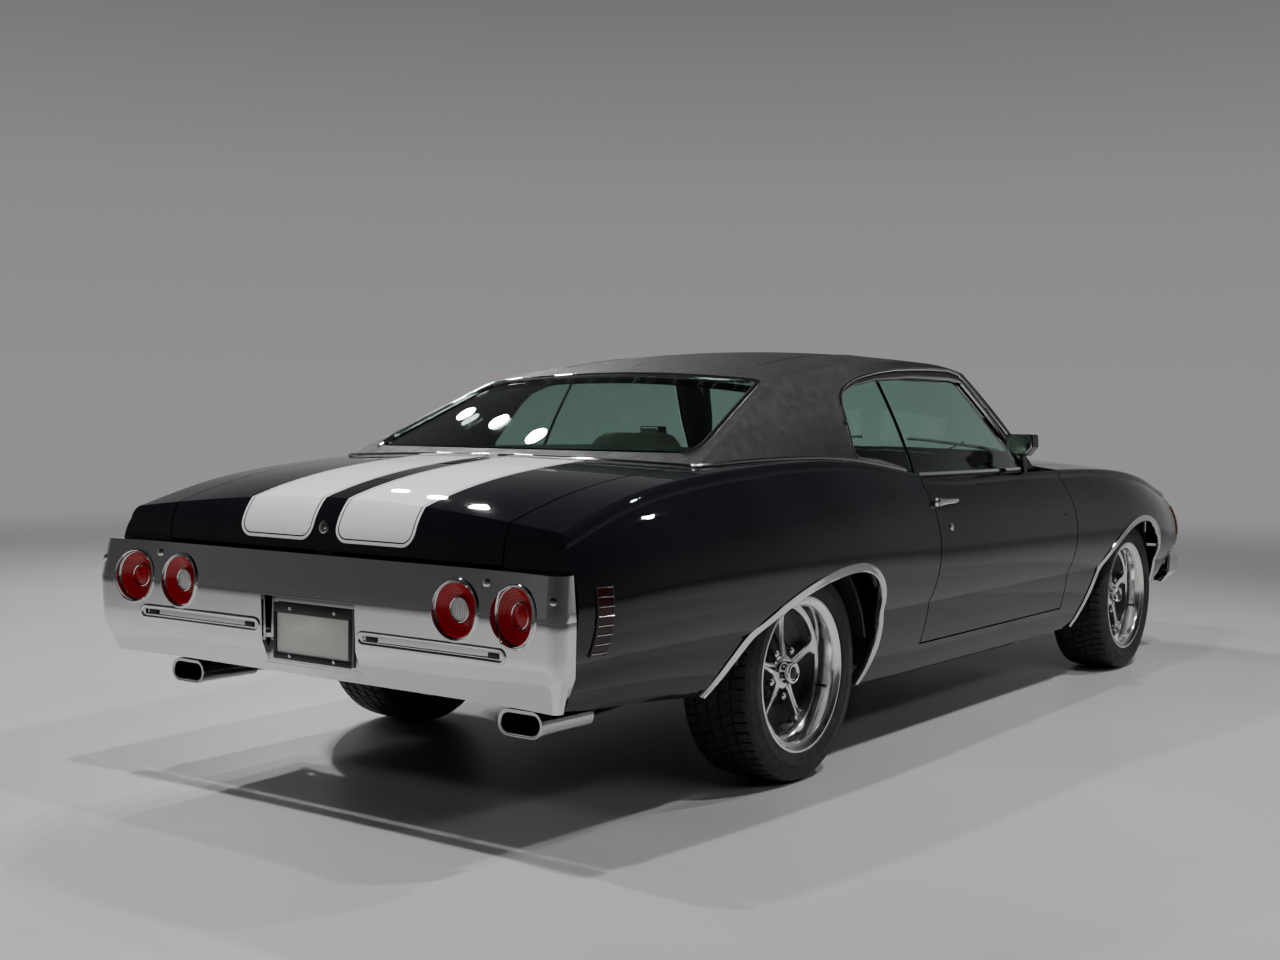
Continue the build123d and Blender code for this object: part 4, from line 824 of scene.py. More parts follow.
class COUPE_OT_mouldings(bpy.types.Operator):
    """Bright wheel-arch, window, drip-rail and roof-edge mouldings, and the seams of the roof cover"""

    bl_idname = "coupe.mouldings"
    bl_label = "Mouldings"

    def execute(self, context):
        for node, x, label in (("quarter_panels", AXLE_REAR_X, "rear"), ("fenders", AXLE_FRONT_X, "front")):
            axle = Vector((x, 0, AXLE_Z - 0.06))
            for side, word in SIDES:
                def arch(middle, skin, cut):
                    inward = axle - middle
                    inward.y = 0
                    return (middle.y * side > 0.5 and skin.y * side > 0.6 and abs(cut.y) < 0.35
                            and cut.dot(inward.normalized()) > 0.25 and middle.z > 0.24)
                points, normals, _ = edge_path(node, arch, 0.022, toward=(x, side * 0.9, AXLE_Z))
                shape = bmesh.new()
                add_moulding(shape, points, normals, BAND if label == "rear" else FRONT_BAND)
                for vert in shape.verts:
                    vert.co.y = max(-WIDEST, min(WIDEST, vert.co.y))
                add_bright("%s_arch_moulding_%s" % (label, word), shape)
        for side, word in SIDES:
            middle_of = Vector((-0.15, side * 0.7, 1.08))

            def opening(middle, skin, cut):
                inward = middle_of - middle
                inward.y = 0
                return (middle.y * side > 0.4 and skin.y * side > 0.5 and -0.95 < middle.x < 0.62
                        and 0.9 < middle.z < 1.3 and abs(cut.y) < 0.5
                        and cut.dot(inward.normalized()) > 0.15)
            points, normals, closed = edge_path("roof", opening, 0.02, toward=middle_of)
            shape = bmesh.new()
            add_moulding(shape, points, normals, SLIM_REVEAL, closed)
            points, normals = spread([beside(side, x, z, "roof") for x, z in RAIL_COURSE], 0.02)
            if side < 0:
                points.reverse()
                normals.reverse()
            add_moulding(shape, points, normals, RAIL)
            add_bright("side_window_moulding_" + word, shape)

        for label, middle_of, facing in (("rear", Vector((-1.30, 0, 1.12)), Vector((-0.6, 0, 0.7))),
                                         ("front", Vector((0.55, 0, 1.12)), Vector((0.6, 0, 0.7)))):
            def frame_edge(middle, skin, cut):
                inward = middle_of - middle
                return (skin.dot(facing) > 0.35 and abs(cut.x) < 0.25 and cut.dot(inward.normalized()) > 0.1
                        and abs(middle.x - middle_of.x) < 0.55 and abs(middle.y) < 0.75)
            points, normals, closed = edge_path("roof", frame_edge, 0.02, toward=middle_of)
            shape = bmesh.new()
            add_moulding(shape, points, normals, REVEAL, closed)
            add_bright(label + "_window_moulding", shape)

        for side, word in SIDES:
            def foot(middle, skin, cut):
                outward = Vector((skin.x, skin.y * side, 0)).dot(Vector((-0.5, 0.86, 0)))
                return (middle.x < -0.60 and middle.z < 1.02 and middle.y * side > 0.02 and cut.z < -0.6
                        and skin.z > -0.3 and outward > 0.2)
            points, normals, _ = edge_path("roof", foot, 0.02, toward=(-1.2, side * 0.8, 0.5))
            points = [p + Vector((0, 0, 0.004)) for p in points]
            shape = bmesh.new()
            add_moulding(shape, points, normals, BEAD)
            add_bright("roof_edge_moulding_" + word, shape)

        shape = bmesh.new()
        for side in (1, -1):
            points, normals = spread([above(0.36 - 0.05 * k, side * 0.41, 1.6, "roof") for k in range(25)],
                                     0.04)
            for shift in (-0.006, 0.006):
                add_moulding(shape, [p + Vector((0, shift, 0)) for p in points], normals, SEAM)
        finished("roof_cover_seams", shape, "vinyl_roof_cover", "body", 60.0)
        return {"FINISHED"}


# ---------------------------------------------------------------- tail

# Tail lamps: y, degrees that they face outwards, finish slot of the centre lens.
LAMPS = ((0.750, 9.0, 0), (0.546, 0.0, 2))
LAMP_BACK = (-2.448, 0.604)
LAMP_BEAD = ((-0.0036, -0.0008), (-0.0034, 0.0014), (-0.0016, 0.0030), (0.0016, 0.0030), (0.0034, 0.0014),
             (0.0036, -0.0008))
LAMP_BEAD_RADIUS = 0.0778
# Sections of a tail lamp, as (distance out along its axis, radius).
BEZEL = ((0.0, 0.0735), (0.0296, 0.0735), (0.0306, 0.0728), (0.0308, 0.0716), (0.0300, 0.0706),
         (0.0288, 0.0700), (0.0270, 0.0700), (0.0, 0.0715))
RED_DISH = ((0.0005, 0.0698), (0.0282, 0.0698), (0.0262, 0.0672), (0.0225, 0.0630), (0.0172, 0.0560),
            (0.0120, 0.0480), (0.0080, 0.0400), (0.0064, 0.0340), (0.0005, 0.0340))
INNER_RING = ((0.0, 0.0338), (0.0142, 0.0338), (0.0172, 0.0330), (0.0180, 0.0312), (0.0166, 0.0296),
              (0.0, 0.0294))
CENTRE_LENS = ((0.0, 0.0), (0.0, 0.0292), (0.0128, 0.0292), (0.0160, 0.0220), (0.0174, 0.0120),
               (0.0178, 0.0))
LOCK_RING = ((-0.004, 0.0), (-0.004, 0.0190), (0.0022, 0.0190), (0.0038, 0.0165), (0.0038, 0.0110),
             (0.0060, 0.0095), (0.0062, 0.0))
# Rear side markers: sections across the lens, a bar and a rim, then where they lie.
MARKER_LENS = ((-0.0270, 0.0004), (-0.0270, 0.0030), (-0.0255, 0.0042), (0.0255, 0.0042), (0.0270, 0.0030),
               (0.0270, 0.0004))
MARKER_BAR = ((-0.0013, 0.0036), (-0.0013, 0.0058), (-0.0006, 0.0066), (0.0006, 0.0066), (0.0013, 0.0058),
              (0.0013, 0.0036))
MARKER_RIM = ((-0.0028, 0.0002), (-0.0022, 0.0048), (0.0022, 0.0048), (0.0028, 0.0002))
MARKER_X = -2.330
# Exhaust tips: y and z of their middle, and their course as (x, growth of the outline).
TIP_PLACE = (0.662, 0.312)
TIP_COURSE = ((-2.150, 0.0026), (-2.340, 0.0030), (-2.3560, 0.0038), (-2.3620, 0.0030), (-2.3622, -0.0020),
              (-2.3600, -0.0062), (-2.3520, -0.0066), (-2.200, -0.0066))


class COUPE_OT_tail_lamps(bpy.types.Operator):
    """Four round tail lamps: dished red lens, bright ring and centre lens"""

    bl_idname = "coupe.tail_lamps"
    bl_label = "Tail lamps"

    def execute(self, context):
        shape = bmesh.new()
        for y, turn, middle in LAMPS:
            for side, _ in SIDES:
                slope = math.radians(turn)
                axis = Vector((-math.cos(slope), -side * math.sin(slope), 0))
                centre = Vector((LAMP_BACK[0], side * y, LAMP_BACK[1])) + axis * 0.0004
                add_spin(shape, BEZEL, centre, axis, 96, 1)
                add_spin(shape, RED_DISH, centre, axis, 96)
                add_spin(shape, INNER_RING, centre, axis, 72, 1)
                add_spin(shape, CENTRE_LENS, centre, axis, 56, middle, closed=False)
                rim = [behind(side * y + LAMP_BEAD_RADIUS * math.cos(math.tau * k / 48),
                              LAMP_BACK[1] + LAMP_BEAD_RADIUS * math.sin(math.tau * k / 48), "rear_bumper")
                       for k in range(48)]
                add_moulding(shape, *apart(rim), LAMP_BEAD, closed=True, material=1)
        finished("tail_lamp_lenses", shape, ["red_lens", "bright_chrome", "ribbed_clear_lens"], "body",
                 35.0, ("tail_lamps",))
        return {"FINISHED"}


class COUPE_OT_tail_details(bpy.types.Operator):
    """Bumper bolts, blank plate in a black surround, side markers, boot lock and exhaust tips"""

    bl_idname = "coupe.tail_details"
    bl_label = "Tail details"

    def execute(self, context):
        shape = bmesh.new()
        for side in (1, -1):
            for y, z in ((0.645, 0.680), (0.880, 0.652)):
                place, normal = behind(side * y, z, "rear_bumper")
                add_rod(shape, place - normal * 0.002, place + normal * 0.0030, 0.0105, 24)
                add_rod(shape, place + normal * 0.0029, place + normal * 0.0052, 0.0100, 24, 0.0055)
        add_bright("bumper_bolts", shape)

        shape = bmesh.new()
        for side in (1, -1):
            for y in (0.225, 0.655):
                low, high = sorted((side * y, side * (y + 0.036)))
                add_block(shape, (-2.4785, low, 0.4955), (-2.4728, high, 0.5085), 0.0015)
        finished("bumper_slot_inserts", shape, "frame_black", "body")

        shape = bmesh.new()
        inner, outer = 0.214, 0.701     # y of the middles of the slot's round ends
        for side in (1, -1):
            round_slot = []
            for start, stop, first_angle, edge_z in ((outer, inner, -90, 0.5185),
                                                     (inner, outer, 90, 0.4855)):
                for step in range(9):
                    angle = math.radians(first_angle + 22.5 * step)
                    round_slot.append((start + 0.0165 * math.cos(angle), 0.502 + 0.0165 * math.sin(angle)))
                round_slot += [(start + (stop - start) * k / 24, edge_z) for k in range(1, 24)]
            lip = [behind(side * y, z, "rear_bumper") for y, z in round_slot]
            add_moulding(shape, *apart(lip), LIP, closed=True)
        add_bright("bumper_slot_lips", shape)

        low, high = (Vector(corner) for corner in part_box("number_plate"))
        shape = bmesh.new()
        add_block(shape, low, (high.x - 0.0002, high.y, high.z), 0.0012)
        finished("number_plate_blank", shape, "plate_face", "body", replaces=("number_plate",))
        shape = bmesh.new()
        for y0, y1, z0, z1 in ((low.y - 0.003, high.y + 0.003, low.z - 0.003, low.z + 0.015),
                               (low.y - 0.003, high.y + 0.003, high.z - 0.026, high.z + 0.003),
                               (low.y - 0.003, low.y + 0.009, low.z + 0.014, high.z - 0.025),
                               (high.y - 0.009, high.y + 0.003, low.z + 0.014, high.z - 0.025)):
            add_block(shape, (low.x - 0.0045, y0, z0), (low.x - 0.0002, y1, z1), 0.0016)
        finished("plate_surround", shape, "frame_black", "body")
        shape = bmesh.new()
        for y in (low.y + 0.064, high.y - 0.064):
            for z in (low.z + 0.008, high.z - 0.012):
                add_rod(shape, (low.x - 0.0040, y, z), (low.x - 0.0062, y, z), 0.0056, 18, 0.0042)
        add_bright("plate_screws", shape)

        for side, word in SIDES:
            shape = bmesh.new()
            path = [beside(side, MARKER_X - 0.0090 * k / 6, 0.508 + 0.0285 * k, "quarter_panels")
                    for k in range(7)][::side]
            add_moulding(shape, *spread(path, 0.012), MARKER_LENS)
            for k in range(8):
                z = 0.513 + 0.0233 * k
                centre_x = MARKER_X - 0.0090 * (z - 0.508) / 0.171
                bar = [beside(side, centre_x + dx, z, "quarter_panels")
                       for dx in (-0.0275, -0.009, 0.009, 0.0275)]
                add_moulding(shape, *spread(bar, 0.018), MARKER_BAR, material=1)
            for shift in (-0.0282, 0.0282):
                rim = [beside(side, MARKER_X + shift - 0.0090 * k / 6, 0.504 + 0.0298 * k, "quarter_panels")
                       for k in range(7)]
                add_moulding(shape, *spread(rim, 0.02), MARKER_RIM, material=2)
            finished("rear_side_marker_" + word, shape, ["dark_red_lens", "bright_chrome", "frame_black"],
                     "body")

        place, normal = on_surface(("boot_lid",), (-2.9, 0.0, 0.785), (1, 0, 0))
        shape = bmesh.new()
        add_spin(shape, LOCK_RING, place, normal, 40, closed=False)
        slit = place + normal * 0.0060
        add_block(shape, slit - Vector((0.0010, 0.0012, 0.0060)), slit + Vector((0.0010, 0.0012, 0.0060)),
                  material=1)
        finished("boot_lock", shape, ["bright_chrome", "frame_black"], "boot_lid")

        for side, word in SIDES:
            shape = bmesh.new()
            y, z = side * TIP_PLACE[0], TIP_PLACE[1]
            add_loft(shape, [slot_ring(x, y, z, 0.0710 + grow, 0.0320 + grow) for x, grow in TIP_COURSE],
                     ends=False)
            for ends, course in ((True, (-2.205, -2.200)), (False, (-2.346, -2.205))):
                add_loft(shape, [slot_ring(x, y, z, 0.0640, 0.0250) for x in course], 1, ends)
            finished("exhaust_tip_" + word, shape, ["stainless_exhaust", "soot_black"], "body")
        return {"FINISHED"}


# ---------------------------------------------------------------- sides


# Stations of the door handle: x, half width, half height, distance out from the door.
HANDLE = ((-0.5060, 0.0010, 0.0030, 0.004), (-0.5045, 0.0050, 0.0100, 0.006),
          (-0.4950, 0.0075, 0.0145, 0.009), (-0.4700, 0.0080, 0.0150, 0.011),
          (-0.4500, 0.0060, 0.0120, 0.015), (-0.4300, 0.0050, 0.0100, 0.016),
          (-0.3600, 0.0048, 0.0090, 0.015), (-0.3200, 0.0046, 0.0080, 0.011),
          (-0.3050, 0.0040, 0.0065, 0.006), (-0.2985, 0.0020, 0.0040, 0.003))
HANDLE_Z = 0.818
BUTTON = ((0.004, 0.0), (0.004, 0.0125), (0.0205, 0.0125), (0.0225, 0.0105), (0.0228, 0.0))
DOOR_LOCK = ((-0.003, 0.0), (-0.003, 0.0135), (0.0018, 0.0135), (0.0032, 0.0118), (0.0030, 0.0085),
             (0.0045, 0.0078), (0.0047, 0.0))
BELT_STRIP = ((-0.0080, 0.0008), (-0.0090, 0.0080), (-0.0075, 0.0105), (0.0020, 0.0100), (0.0060, 0.0020),
              (0.0055, 0.0008))
# Outline of the mirror glass, as (y, z) from its middle.
MIRROR_OUTLINE = ((-0.051, -0.010), (-0.048, 0.033), (-0.042, 0.037), (0.042, 0.037), (0.048, 0.033),
                  (0.051, -0.010), (0.026, -0.037), (-0.026, -0.037))
# Inner door panel: its outline as (x, z), and the y of the door's inner face.
PANEL_OUTLINE = ((-0.470, 0.352), (0.560, 0.352), (0.640, 0.480), (0.655, 0.700), (0.640, 0.872),
                 (-0.470, 0.884))
DOOR_INSIDE_Y = 0.7515


class COUPE_OT_door_fittings(bpy.types.Operator):
    """Outside handles with a round button, door locks, mirror glass, belt strips and inner door panels"""

    bl_idname = "coupe.door_fittings"
    bl_label = "Door fittings"

    def execute(self, context):
        for side, word in SIDES:
            door = "door_" + word
            shape = bmesh.new()
            rings = []
            for x, wide, high, out in HANDLE:
                place, _ = beside(side, x, HANDLE_Z, door)
                rings.append(oval(place + Vector((0, side * out, 0)), (0, side, 0), (0, 0, 1), wide, high))
            add_loft(shape, rings)
            place, _ = beside(side, -0.482, HANDLE_Z, door)
            # push button, then the foot at the handle's front end
            add_spin(shape, BUTTON, place, (0, side, 0), 36, closed=False)
            foot = place + Vector((0.130, 0, 0))
            add_rod(shape, foot - Vector((0, side * 0.002, 0)), foot + Vector((0, side * 0.012, 0)), 0.006,
                    16)
            finished("door_handle_bar_" + word, shape, "bright_chrome", door,
                     replaces=("door_handle_" + word,))

            shape = bmesh.new()
            place, normal = beside(side, -0.414, 0.732, door)
            add_spin(shape, DOOR_LOCK, place, normal, 36, closed=False)
            add_bright("door_lock_" + word, shape, door)

            shape = bmesh.new()
            rings = []
            for shift, grow in ((0.0, 0.0), (-0.0035, 0.0), (-0.0050, -0.0020), (-0.0042, -0.0058)):
                rings.append([(0.3118 + shift, side * (0.868 + y * (1 + grow / 0.05)),
                               1.007 + z * (1 + grow / 0.04))
                              for y, z in MIRROR_OUTLINE])
            add_loft(shape, rings, ends=False)
            add_loft(shape, [[(x, y, z) for _, y, z in rings[-1]] for x in (0.3078, 0.3120)], material=1)
            finished("mirror_glass_" + word, shape, ["bright_chrome", "mirror_silver"], door)

            shape = bmesh.new()
            points, normals = spread([beside(side, -0.490 + 0.035 * k, 0.906, "door_glass_" + word)
                                      for k in range(29)], 0.04)
            if side > 0:
                points.reverse()
                normals.reverse()
            add_moulding(shape, points, normals, BELT_STRIP)
            add_bright("door_belt_strip_" + word, shape, door)

            shape = bmesh.new()
            inside = side * DOOR_INSIDE_Y
            rings = []
            for out, shrink in ((0.0, 0.0), (0.006, 0.0), (0.0115, 0.010), (0.0130, 0.022)):
                rings.append([(0.09 + (x - 0.09) * (1 - shrink / 0.5), inside - side * out,
                               0.62 + (z - 0.62) * (1 - shrink / 0.27)) for x, z in PANEL_OUTLINE])
            add_loft(shape, rings)
            # three ribs, the arm rest and the opening lever
            for x0, x1, out0, out1, z0, z1, bevel, segments, material in (
                    (-0.430, 0.590, 0.0120, 0.0165, 0.395, 0.520, 0.0020, 2, 0),
                    (-0.430, 0.590, 0.0120, 0.0165, 0.545, 0.560, 0.0020, 2, 0),
                    (-0.430, 0.590, 0.0120, 0.0165, 0.745, 0.760, 0.0020, 2, 0),
                    (-0.330, 0.100, 0.012, 0.062, 0.600, 0.652, 0.016, 3, 0),
                    (0.150, 0.290, 0.012, 0.034, 0.688, 0.708, 0.006, 3, 1)):
                low, high = sorted((inside - side * out0, inside - side * out1))
                add_block(shape, (x0, low, z0), (x1, high, z1), bevel, segments, material=material)
            # window winder: boss, arm and knob
            for x0, out0, z0, x1, out1, z1, *sizes in (
                    (0.300, 0.012, 0.590, 0.300, 0.034, 0.590, 0.022, 24, 0.019),
                    (0.300, 0.030, 0.590, 0.210, 0.036, 0.560, 0.006, 12),
                    (0.210, 0.030, 0.560, 0.210, 0.062, 0.560, 0.011, 16)):
                add_rod(shape, (x0, inside - side * out0, z0), (x1, inside - side * out1, z1), *sizes,
                        material=1)
            finished("door_inner_panel_" + word, shape, ["seat_vinyl", "bright_chrome"], door)
        return {"FINISHED"}


# ---------------------------------------------------------------- nose


FRONT_MARKER_X = 2.3020
FRONT_MARKER_LENS = ((-0.0090, 0.0004), (-0.0086, 0.0040), (0.0086, 0.0040), (0.0090, 0.0004))
FRONT_MARKER_BAR = ((-0.0018, 0.0036), (-0.0009, 0.0060), (0.0009, 0.0060), (0.0018, 0.0036))
# Headlamps: place, and sections as (distance forward, radius).
HEADLAMP_X, HEADLAMP_Z, HEADLAMP_YS = 2.2922, 0.640, (0.600, 0.446)
HEADLAMP_LENS = ((0.0, 0.0), (0.0, 0.0675), (0.0130, 0.0675), (0.0190, 0.0560), (0.0240, 0.0380),
                 (0.0266, 0.0180), (0.0272, 0.0))
HEADLAMP_RING = ((0.0120, 0.0674), (0.0290, 0.0690), (0.0330, 0.0725), (0.0330, 0.0745), (0.0300, 0.0765),
                 (0.0284, 0.0765), (0.0284, 0.0682), (0.0100, 0.0679))
# Front lamps in the bumper: y of their ends, and sections across the bezel and the lens.
FRONT_LAMP_YS = (0.470, 0.600)
FRONT_LAMP_BEZEL = ((-0.0230, 0.0003), (-0.0220, 0.0040), (-0.0180, 0.0062), (0.0180, 0.0062),
                    (0.0220, 0.0040), (0.0230, 0.0003))
FRONT_LAMP_LENS = ((-0.0150, 0.0060), (-0.0140, 0.0085), (0.0140, 0.0085), (0.0150, 0.0060))
LOUVRE = ((-0.0075, -0.001), (-0.0062, 0.0009), (0.0062, 0.0009), (0.0075, -0.001))
WIPER_BLADE = ((-0.004, 0.0015), (-0.0025, 0.0130), (0.0025, 0.0130), (0.004, 0.0015))
WIPER_FOOT = ((-0.004, 0.0), (-0.004, 0.014), (0.018, 0.012), (0.022, 0.0))


class COUPE_OT_nose_details(bpy.types.Operator):
    """Grille mesh, bright frame and bar, headlamp lenses and rings, front lamps and marker lamps"""

    bl_idname = "coupe.nose_details"
    bl_label = "Nose details"

    def execute(self, context):
        low, high = (Vector(corner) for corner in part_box("grille"))
        shape = bmesh.new()
        for k in range(43):
            y = low.y + 0.016 + (high.y - low.y - 0.032) * k / 42
            add_block(shape, (high.x - 0.022, y - 0.0016, low.z + 0.012),
                      (high.x - 0.0008, y + 0.0016, high.z - 0.012))
        finished("grille_fins", shape, "grille_black", "body")
        shape = bmesh.new()
        mid = (low.z + high.z) / 2
        corners = [(low.y - 0.004, low.z - 0.003), (high.y + 0.004, low.z - 0.003),
                   (high.y + 0.004, high.z + 0.003), (low.y - 0.004, high.z + 0.003)]
        points = []
        for (y0, z0), (y1, z1) in zip(corners, corners[1:] + corners[:1]):
            points += [Vector((high.x + 0.0105, y0 + (y1 - y0) * k / 12, z0 + (z1 - z0) * k / 12))
                       for k in range(12)]
        add_moulding(shape, points, [Vector((1, 0, 0))] * len(points), BEAD, closed=True)
        add_block(shape, (high.x - 0.012, low.y + 0.002, mid - 0.009),
                  (high.x + 0.013, high.y - 0.002, mid + 0.009), 0.004, 3)
        add_bright("grille_frame", shape)

        lenses, rings = bmesh.new(), bmesh.new()
        for side in (1, -1):
            for y in HEADLAMP_YS:
                centre = (HEADLAMP_X, side * y, HEADLAMP_Z)
                add_spin(lenses, HEADLAMP_LENS, centre, (1, 0, 0), 64, closed=False)
                add_spin(rings, HEADLAMP_RING, centre, (1, 0, 0), 64)
        finished("headlamp_lenses", lenses, "clear_lens", "body", replaces=("headlamps",))
        finished("headlamp_rings", rings, "bright_chrome", "body")

        shape = bmesh.new()
        for side in (1, -1):
            y0, y1 = FRONT_LAMP_YS
            row = [on_surface(("front_bumper",), (2.8, side * (y0 + (y1 - y0) * k / 6), 0.443), (-1, 0, 0))
                   for k in range(7)][::side]
            points, normals = spread(row, 0.015)
            add_moulding(shape, points, normals, FRONT_LAMP_BEZEL, material=1)
            add_moulding(shape, points[1:-1], normals[1:-1], FRONT_LAMP_LENS)
        finished("front_lamps", shape, ["amber_lens", "bright_chrome"], "body")

        for side, word in SIDES:
            shape = bmesh.new()
            skin = ("fenders", "nose_panel")
            path = [beside(side, FRONT_MARKER_X, 0.560 + 0.022 * k, *skin) for k in range(7)][::side]
            add_moulding(shape, *spread(path, 0.014), FRONT_MARKER_LENS)
            for k in range(7):
                bar = [beside(side, FRONT_MARKER_X + dx, 0.564 + 0.0208 * k, *skin)
                       for dx in (-0.0095, 0.0, 0.0095)]
                add_moulding(shape, *spread(bar, 0.023), FRONT_MARKER_BAR, material=1)
            finished("front_side_marker_" + word, shape, ["dark_amber_lens", "bright_chrome"], "body")

        shape = bmesh.new()
        for side in (1, -1):
            for k in range(16):
                y = side * (0.10 + 0.030 * k)
                front, (middle, normal), rear = (above(x, y, 1.4, "cowl_panel")
                                                 for x in (0.775, 0.735, 0.695))
                add_moulding(shape, [front[0], middle, rear[0]], [normal] * 3, LOUVRE)
        finished("cowl_louvres", shape, "frame_black", "body")

        shape = bmesh.new()
        for y0 in (0.30, -0.36):
            foot, _ = above(0.725, y0, 1.4, "cowl_panel")
            add_spin(shape, WIPER_FOOT, foot, (0, 0, 1), 24, closed=False)
            ys = [y0 + 0.16 - (0.44 * k / 8) for k in range(9)]
            blade = [above(0.700 - 0.16 * (y * y), y, 1.5, "windshield", "cowl_panel") for y in ys]
            rise = Vector((0, 0, 0.016))
            add_rod(shape, foot + rise, blade[5][0] + rise, 0.0042, 10)
            add_moulding(shape, *spread(blade, 0.03), WIPER_BLADE, material=1)
        finished("wipers", shape, ["frame_black", "tyre_rubber"], "body")
        return {"FINISHED"}


# ---------------------------------------------------------------- cabin

BUCKET_Y = 0.345
BUCKET_TURN = Matrix.Rotation(math.radians(-20), 3, "Y")
BENCH_TURN = Matrix.Rotation(math.radians(-14), 3, "Y")
BUCKET_SEAMS = (-0.15, -0.075, 0.0, 0.075, 0.15)
BENCH_SEAMS = [0.11 * k for k in range(-4, 5)]


def finish_cushion(name, shape, replaces=()):
    made = finished(name, shape, "seat_vinyl", "body", 60.0, replaces)
    return made


class COUPE_OT_seats(bpy.types.Operator):
    """Front buckets and rear bench in sewn vinyl"""

    bl_idname = "coupe.seats"
    bl_label = "Seats"

    def execute(self, context):
        for side, word in SIDES:
            y = side * BUCKET_Y
            shape = bmesh.new()
            add_cushion(shape, (-0.320, y - 0.248, 0.345), (0.190, y + 0.248, 0.455), 0.048, 0.018,
                        BUCKET_SEAMS)
            finish_cushion("front_seat_cushion_" + word, shape)
            shape = bmesh.new()
            pivot = Vector((-0.320, y, 0.440))
            verts = add_cushion(shape, (-0.31, y - 0.240, 0.380), (0.31, y + 0.240, 0.492), 0.050, 0.016,
                                BUCKET_SEAMS)
            for vert in verts:
                along = (vert.co.x + 0.31) / 0.62
                squeeze = 1.0 - 0.30 * max(0.0, (along - 0.72) / 0.28) ** 1.5
                vert.co = Vector((vert.co.x, y + (vert.co.y - y) * squeeze, vert.co.z))
                local = vert.co - Vector((0, y, 0.436))
                vert.co = Vector((local.z, local.y + y, local.x + 0.31))
            for vert in verts:
                turned = BUCKET_TURN @ Vector((vert.co.x, 0, vert.co.z))
                vert.co = turned + Vector((pivot.x, vert.co.y, pivot.z))
            finish_cushion("front_seat_back_" + word, shape)
            shape = bmesh.new()
            add_block(shape, (-0.29, y - 0.215, 0.2655), (0.16, y + 0.215, 0.350), 0.020, 3)
            finished("front_seat_base_" + word, shape, "frame_black", "body")
        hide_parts("front_seats")
        shape = bmesh.new()
        add_cushion(shape, (-0.892, -0.556, 0.402), (-0.548, 0.556, 0.492), 0.040, 0.014, BENCH_SEAMS, 40)
        finish_cushion("rear_seat_cushion", shape)
        shape = bmesh.new()
        verts = add_cushion(shape, (-0.215, -0.550, 0.0), (0.215, 0.550, 0.110), 0.042, 0.014, BENCH_SEAMS,
                            40)
        for vert in verts:
            along, out = vert.co.x + 0.215, vert.co.z - 0.055
            turned = BENCH_TURN @ Vector((out, 0, along))
            vert.co = Vector((turned.x - 0.850, vert.co.y, turned.z + 0.455))
        finish_cushion("rear_seat_back", shape, ("rear_seat",))
        return {"FINISHED"}


# Round instruments and outlets on the dash: sections, and where they lie.
DIAL = ((0.0, 0.0), (0.0, 0.052), (-0.014, 0.055), (-0.018, 0.052), (-0.016, 0.048), (-0.006, 0.046),
        (-0.006, 0.0))
GAUGE = ((0.0, 0.0), (0.0, 0.030), (-0.010, 0.032), (-0.012, 0.029), (-0.004, 0.027), (-0.004, 0.0))
OUTLET = ((0.0, 0.0), (0.0, 0.034), (-0.012, 0.036), (-0.014, 0.033), (-0.004, 0.030), (-0.004, 0.0))
DIAL_Z = 0.797
DASH_FACING = (1, 0, 0.12)
# The parcel shelf's sides, as (point, way out).
SHELF_SIDES = (((-1.640, 0, 0), (-1, 0, 0)), ((-1.100, 0, 0), (1, 0, 0)), ((0, 0.600, 0), (0, 1, 0)),
               ((0, -0.600, 0), (0, -1, 0)))
HORN_PAD = ((0.0, 0.0), (0.0, 0.046), (0.012, 0.044), (0.020, 0.034), (0.024, 0.0))
HORN_RING = ((0.001, 0.046), (0.001, 0.052), (0.006, 0.052), (0.008, 0.047))


